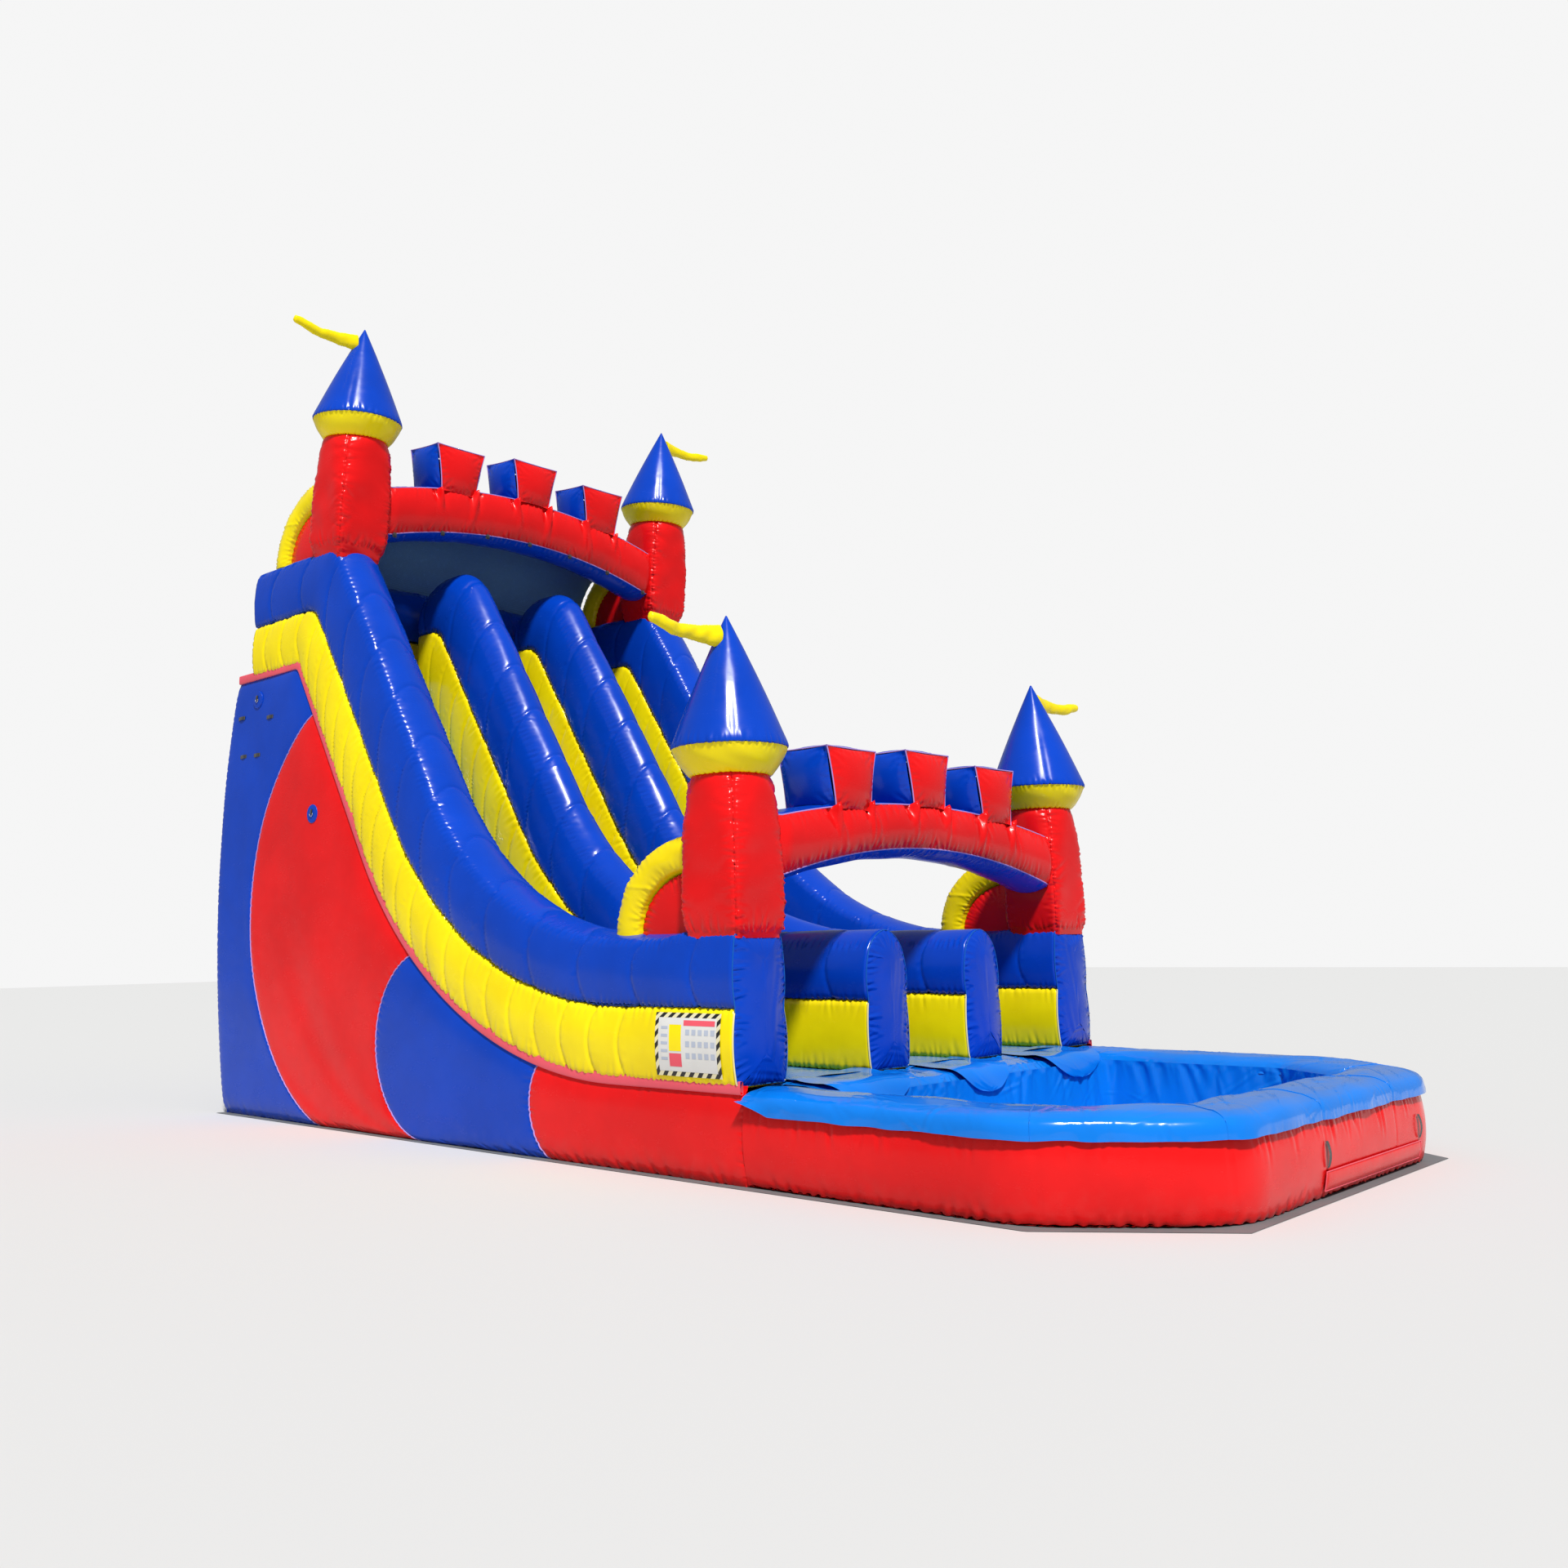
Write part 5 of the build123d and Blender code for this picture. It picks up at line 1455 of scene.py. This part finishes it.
def tongues():
    rng = np.random.default_rng(240)
    gaps = {"left": (-RAIL_INNER, -DIVIDER_OUTER), "middle": (-LANE_EDGE, LANE_EDGE),
            "right": (DIVIDER_OUTER, RAIL_INNER)}
    for number, (word, (low, high)) in enumerate(gaps.items()):
        shape, area = tongue(low, high, rng)
        replaced = ["lane_flaps"] if number == 0 else []  # the three share one CAD node
        flap = piece(f"lane_tongue_{word}", [(shape, AZURE, False)], replaced)


def wall_patch(x, z, lift, columns, rows):
    """Grid on the front of the pool's wall between X and Z limits; lift adds to how far it stands out."""
    zs = np.linspace(*z, rows)
    face = POOL_FRONT + WALL_HALF - wall_face(zs) - 0.010
    return grid_of(np.linspace(*x, columns), face[:, None] - lift, zs[:, None])


def drain():
    """Stitched pocket over the drain, with a short black strap above each end."""
    rng = np.random.default_rng(250)
    low, high = (corner[0] for corner in corners_of("drain_pocket"))
    x = np.linspace(0, 1, 90)
    z = np.linspace(0, 1, 18)
    lift = 0.012 * np.outer((4 * z * (1 - z)) ** 0.5, (4 * x * (1 - x)) ** 0.2)
    skin = Skin(wall_patch((low, high), (0.05, 0.16), lift, 90, 18), flip=True)
    skin.pucker_ends(rng, 0.004, 0.06, 0.05)
    shape = skin.shape()
    straps = []
    for middle in (low + 0.025, high - 0.025):
        bow = 0.014 * np.sin(pi * np.linspace(0, 1, 24)) ** 0.8
        grid = wall_patch((middle - 0.02, middle + 0.02), (0.18, 0.33), bow[:, None] * np.ones(8), 8, 24)
        straps.append((grid, WEBBING, True))
    piece("drain_cover", [(shape, RED, True), *straps], ["drain_pocket"])
    edge = np.concatenate([shape[0], shape[1:, -1], shape[-1, ::-1][1:], shape[::-1, 0][1:]])
    welt("drain_stitching", [edge + np.array([0, -0.002, 0])], PINK, 0.0035)


def pool():
    path, outward = pool_path()
    pool_wall(path, outward)
    pool_cover(path, outward)
    pool_liner(path, outward)
    tongues()
    drain()


pool()


# ---- trim ----
STRAP_PLACES = ((6.50, 3.79), (5.96, 3.74), (6.44, 3.40), (6.18, 3.39))  # Y from the front face, Z
TAB_COUNT, TAB_PITCH = 7, 0.56
RING_WIRE = 0.0035  # radius of a D-ring's wire
LOOP_RADIUS = 0.0058  # of the webbing round a ring's bar
ZIP_MARGIN = 0.02  # of the flap past each end of the coil
SLEEVE_RADIUS = 0.15


def bowed(first, last, out, rise, count=26):
    """Line between two points that stands out in its middle."""
    share = np.linspace(0, 1, count)[:, None]
    first, last, out = (np.asarray(v, float) for v in (first, last, out))
    return first + (last - first) * share + out * rise * np.sin(pi * np.clip(share * 1.5 - 0.25, 0, 1)) ** 0.6


def handles():
    """Webbing grab loops beside the climbing lane, sewn down at both ends."""
    parts = []
    for side in (-1, 1):
        for (y, z), run in slide_places(-TUBE_HEIGHT / 2, (0.44, 0.60, 0.76)):
            middle = np.array([side * (LANE_EDGE - 0.006), y, z])
            line = bowed(middle - 0.12 * run, middle + 0.12 * run, (-side, 0, 0), 0.036)
            parts.append((flat_strap(line, np.cross(run, (side, 0, 0)), 0.038, 0.005), WEBBING, False))
    piece("grab_loops", parts, ["climb_handles"])


def hose_loops():
    """Small black tabs along the rear arch's lower front seam."""
    foot, front, half, lower, _ = ARCHES["rear"]
    parts = []
    for i in range(TAB_COUNT):
        x = TAB_PITCH * (i - TAB_COUNT // 2)
        z = foot + float(arch_height(x, lower, half)) + 0.028
        seam = front + 0.038
        line = [(x, seam + 0.01, z + 0.012), (x, seam - 0.006, z + 0.010), (x, seam - 0.012, z - 0.008),
                (x, seam - 0.010, z - 0.028), (x, seam - 0.004, z - 0.036), (x, seam + 0.004, z - 0.024),
                (x, seam + 0.008, z)]
        parts.append((leaning(flat_strap(line, (1, 0, 0), 0.038, 0.003), foot), WEBBING, False))
    piece("hose_tab_straps", parts, ["hose_tabs"])


def side_straps():
    """Short straps sewn flat to the upper rear corner of both side panels."""
    parts = []
    for side in SIDES.values():
        for y, z in STRAP_PLACES:
            x = side * (HALF_WIDTH - 0.001)
            line = bowed((x, FACE + y - 0.06, z), (x, FACE + y + 0.06, z), (side, 0, 0), 0.008)
            parts.append((flat_strap(line, (0, 0, 1), 0.036, 0.003), WEBBING, False))
    piece("sewn_straps", parts, ["side_webbing"])


def patches():
    """Round welded patches, each with a webbing loop round its ring's bar."""
    parts = []
    for name in ("upper_left", "lower_left", "upper_right", "lower_right"):
        side = SIDES[name.split("_")[1]]
        low, high = corners_of(f"guy_ring_{name}")
        y, z, bar = (low[1] + high[1]) / 2, high[2] - RING_WIRE, side * (HALF_WIDTH + 0.012)
        radius = np.array([0.086, 0.085, 0.082, 0.078, 0.072, 0.04, 0.002])
        out = np.array([-0.014, 0.0005, 0.0035, 0.0028, 0.004, 0.0045, 0.0045])
        turn = np.linspace(0, 2 * pi, 65)
        parts.append((grid_of(side * (HALF_WIDTH + out)[:, None], y + radius[:, None] * np.cos(turn),
                              z + radius[:, None] * np.sin(turn)), BLUE, side > 0))
        turn = np.linspace(0.5 * pi, -1.5 * pi, 21)[3:-3]
        wrap = [(bar + side * LOOP_RADIUS * cos(t), y, z + LOOP_RADIUS * sin(t)) for t in turn]
        front = [(bar + side * 0.001, y, z + 0.040), (bar + side * 0.004, y, z + 0.018)]
        back = [(bar - side * 0.005, y, z + 0.018), (bar - side * 0.004, y, z + 0.040)]
        parts.append((flat_strap(front + wrap + back, (0, 1, 0), 0.025, 0.002), WEBBING, False))
    piece("anchor_patches", parts, ["ring_patches"])


def deflation_zip():
    """Zip tape with its coil, and the flap that hangs over it from a sewn strip."""
    low, high = corners_of("zip_slider")
    z = (low[2] + high[2]) / 2
    flap_low, flap_high = corners_of("zip_flap")
    y0, y1 = flap_low[1] + ZIP_MARGIN, flap_high[1] - ZIP_MARGIN
    count = 900
    turn = np.linspace(0, 2 * pi, 9)
    ridged = (0.0024 + 0.0006 * np.sin(np.arange(count) * 2 * pi / 4))[:, None]
    coil = grid_of(HALF_WIDTH + 0.0035 + 0.5 * ridged * np.cos(turn), np.linspace(y0, y1, count)[:, None],
                   z + ridged * np.sin(turn))
    tape = grid_of(HALF_WIDTH + 0.0005, np.linspace(y0, y1, 60), z)
    strip = grid_of(HALF_WIDTH + 0.005, np.linspace(flap_low[1], flap_high[1], 60), flap_high[2] + 0.005)
    piece("zip_coil", [(coil, ZIP_METAL, False), (flat_strap(tape, (0, 0, 1), 0.044, 0.0025), ZIP, False),
                       (flat_strap(strip, (0, 0, 1), 0.009, 0.014), RED, False)],
          ["zip_tape"], merge=0)
    rng = np.random.default_rng(260)
    ys, drop = np.linspace(flap_low[1], flap_high[1], 120), np.linspace(0, 1, 16)
    drop = drop[:, None]
    skin = Skin(grid_of(HALF_WIDTH + 0.0165 + 0.006 * drop ** 2 * (1 + 0.5 * np.sin(ys * 23)), ys,
                        flap_high[2] + (flap_low[2] - flap_high[2]) * drop))
    skin.waves(rng, 0.001, 0.12)
    flap = piece("zip_cover_flap", [(skin.shape(), RED, False)], ["zip_flap"], body="zip_flap")


def sleeves():
    """Fabric inlet sleeves for the blowers, a little slack, with a hem at the mouth."""
    rng = np.random.default_rng(270)
    low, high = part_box("inlet_sleeves")
    middle_x, middle_z = high[0] - SLEEVE_RADIUS, (low[2] + high[2]) / 2
    parts, area = [], 0.0
    for side in SIDES.values():
        run = np.linspace(low[1] - 0.01, high[1], 44)
        turn = np.linspace(0, 2 * pi, 97)
        share = np.linspace(0, 1, len(run))[:, None]
        radius = 0.147 - 0.004 * np.sin(pi * share) - 0.002 * (share > 0.93)
        grid = grid_of(side * middle_x + radius * np.cos(turn), run[:, None],
                       middle_z + radius * np.sin(turn))
        skin = Skin(grid, closed=True, flip=True)
        skin.pucker_row(rng, 5, 0.008, 0.2, 0.05, slant=0.3, side=1)
        slack_folds(skin, rng, 30, 0.004, 0.1, 0.014)
        area += grid_area(grid)
        parts.append((skin.shape(), GREY, True))
    sleeve = piece("blower_sleeves", parts, ["inlet_sleeves"])


def ground_cloth():
    """Grey sheet under the whole slide and pool, which shows as a narrow edge."""
    rng = np.random.default_rng(280)
    low, high = corners_of("ground_sheet")
    ys = np.linspace(low[1], high[1], 300)
    half = np.interp(ys, (low[1], low[1] + 0.9, FACE), (high[0] - 0.7, high[0], high[0]))
    share = np.linspace(-1, 1, 150)
    grid = grid_of(half[:, None] * share, ys[:, None], 0.003)
    skin = Skin(grid, flip=True)
    slack_folds(skin, rng, 160, 0.002, 0.3, 0.03)
    sheet = piece("ground_cloth", [(skin.shape(), GREY, True)], ["ground_sheet"])


def front_base():
    """Red panel under the lanes' front ends, behind the pool's sill."""
    rng = np.random.default_rng(290)
    low, high = corners_of("front_base_panel")
    xs, zs = np.linspace(low[0], high[0], 240), np.linspace(low[2], high[2], 34)
    skin = Skin(grid_of(xs, low[1] + 0.02, zs[:, None]), flip=True)
    skin.pucker_ends(rng, 0.008, 0.15, 0.08)
    piece("front_base_skin", [(skin.shape(), RED, True)], ["front_base_panel"])


def label():
    """Blank panel with a striped border, welded to the left rail's yellow tube and curved with it.
    Plain blocks stand where a maker's panel has its text."""
    low, high = corners_of("label_panel")
    outline, marks = RAIL_LOWER
    outer = outline[marks[0]:marks[1] + 1]

    def grid(y, z, lift, count=24):
        zs = np.linspace(*z, count)
        stand = RAIL_MIDDLE + np.interp(zs, SEAM_LOW + outer[:, 1], outer[:, 0]) + 0.012 + lift
        return grid_of(-stand[:, None], np.linspace(*y, count), zs[:, None])

    def block(y, y_end, z, z_end, material, count=12):
        """Block printed on the panel, placed from its inner corner along and down."""
        limits = (inner_y + y, inner_y + y_end), (inner_z - z, inner_z - z_end)
        parts.append((grid(*limits, 0.002, count), material, False))

    y0, y1, z0, z1, band = low[1], high[1], low[2], high[2], 0.032
    parts = [(grid((y0, y1), (z0, z1), 0), STRIPES, False),
             (grid((y0 + band, y1 - band), (z0 + band, z1 - band), 0.001), WHITE, False)]
    inner_y, inner_z = y0 + band + 0.015, z1 - band - 0.015
    block(0, 0.28, 0.035, 0, PINK)
    for row in range(3):
        for column in range(5):
            y, z = 0.056 * column, 0.095 + 0.075 * row
            block(y, y + 0.036, z, z - 0.036, PALE, 5)
    block(0.30, 0.41, 0.20, 0.03, YELLOW)
    block(0.30, 0.41, 0.30, 0.215, PINK)
    for row in range(5):
        z = 0.06 + 0.05 * row
        block(0.425, 0.485, z, z - 0.018, PALE, 5)
    panel = piece("blank_panel", parts, ["label_panel"], merge=0)


def end_piping():
    """Cream piping where the yellow walls meet the blue front ends."""
    lines = []
    for seam in END_SEAMS:
        low = (seam[:, 2] < SEAM_LOW - 0.004) & (seam[:, 2] > BASE_LOW + 0.012)
        for side in (-1, 1):
            middle = (seam[:, 0].max() + seam[:, 0].min()) / 2
            line = seam[low & ((seam[:, 0] - middle) * side > 0.1)]
            line = line[np.argsort(line[:, 2])]
            lines.append(line + np.array([side * 0.003, 0.004, 0]))
    welt("cream_piping", lines, CREAM, 0.0065)


def carried_over():
    """Materials of the solids that keep their own shape."""
    looks = {"guy_ring": STEEL, "zip_slider": ZIP_METAL, "internal_baffles": WHITE}
    for name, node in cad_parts.items():
        for start, material in looks.items():
            if name.startswith(start):
                for place in node.material_slots:
                    place.material = material


handles()
hose_loops()
side_straps()
patches()
deflation_zip()
sleeves()
ground_cloth()
front_base()
label()
end_piping()
carried_over()


# ---- stage ----
def sun(name, place, aim, energy, angle, colour):
    """A sun that shines from place to aim; its angle in degrees softens the shadows."""
    data = bpy.data.lights.new(name, "SUN")
    data.energy = energy
    data.color = colour
    data.angle = radians(angle)
    back = np.array(place, float) - np.array(aim, float)
    back /= np.linalg.norm(back)
    right = np.cross((0, 0, 1), back)
    right /= np.linalg.norm(right)
    stand(bpy.data.objects.new(name, data), [right, np.cross(back, right), back], place)


def stage():
    """Pale floor, white backdrop and a bluish sky that only lights the object, and the sun."""
    nodes = Nodes("floor")
    nodes.shader.inputs["Base Color"].default_value = (0.62, 0.62, 0.62, 1)
    nodes.shader.inputs["Roughness"].default_value = 0.9
    mesh = bpy.data.meshes.new("floor")
    reach = 60
    mesh.from_pydata([(-reach, -reach, 0), (reach, -reach, 0), (reach, reach, 0), (-reach, reach, 0)], [],
                     [(0, 1, 2, 3)])
    mesh.materials.append(nodes.material)
    floor = bpy.data.objects.new("floor", mesh)
    bpy.context.scene.collection.objects.link(floor)
    world = bpy.data.worlds.new("studio")
    world.use_nodes = True
    tree = world.node_tree
    background = tree.nodes["Background"]
    background.inputs["Color"].default_value = (0.90, 0.95, 1.0, 1)
    background.inputs["Strength"].default_value = 0.36
    seen = tree.nodes.new("ShaderNodeBackground")
    seen.inputs["Color"].default_value = (1.0, 1.0, 1.0, 1)
    seen.inputs["Strength"].default_value = 0.92
    rays, choice = tree.nodes.new("ShaderNodeLightPath"), tree.nodes.new("ShaderNodeMixShader")
    tree.links.new(rays.outputs["Is Camera Ray"], choice.inputs[0])
    tree.links.new(background.outputs[0], choice.inputs[1])
    tree.links.new(seen.outputs[0], choice.inputs[2])
    tree.links.new(choice.outputs[0], tree.nodes["World Output"].inputs["Surface"])
    bpy.context.scene.world = world
    bpy.context.scene.view_settings.view_transform = "Standard"
    sun("key", (-7, -9, 17), (0, 0, 2), 4.1, 6, (1.0, 0.98, 0.95))


stage()
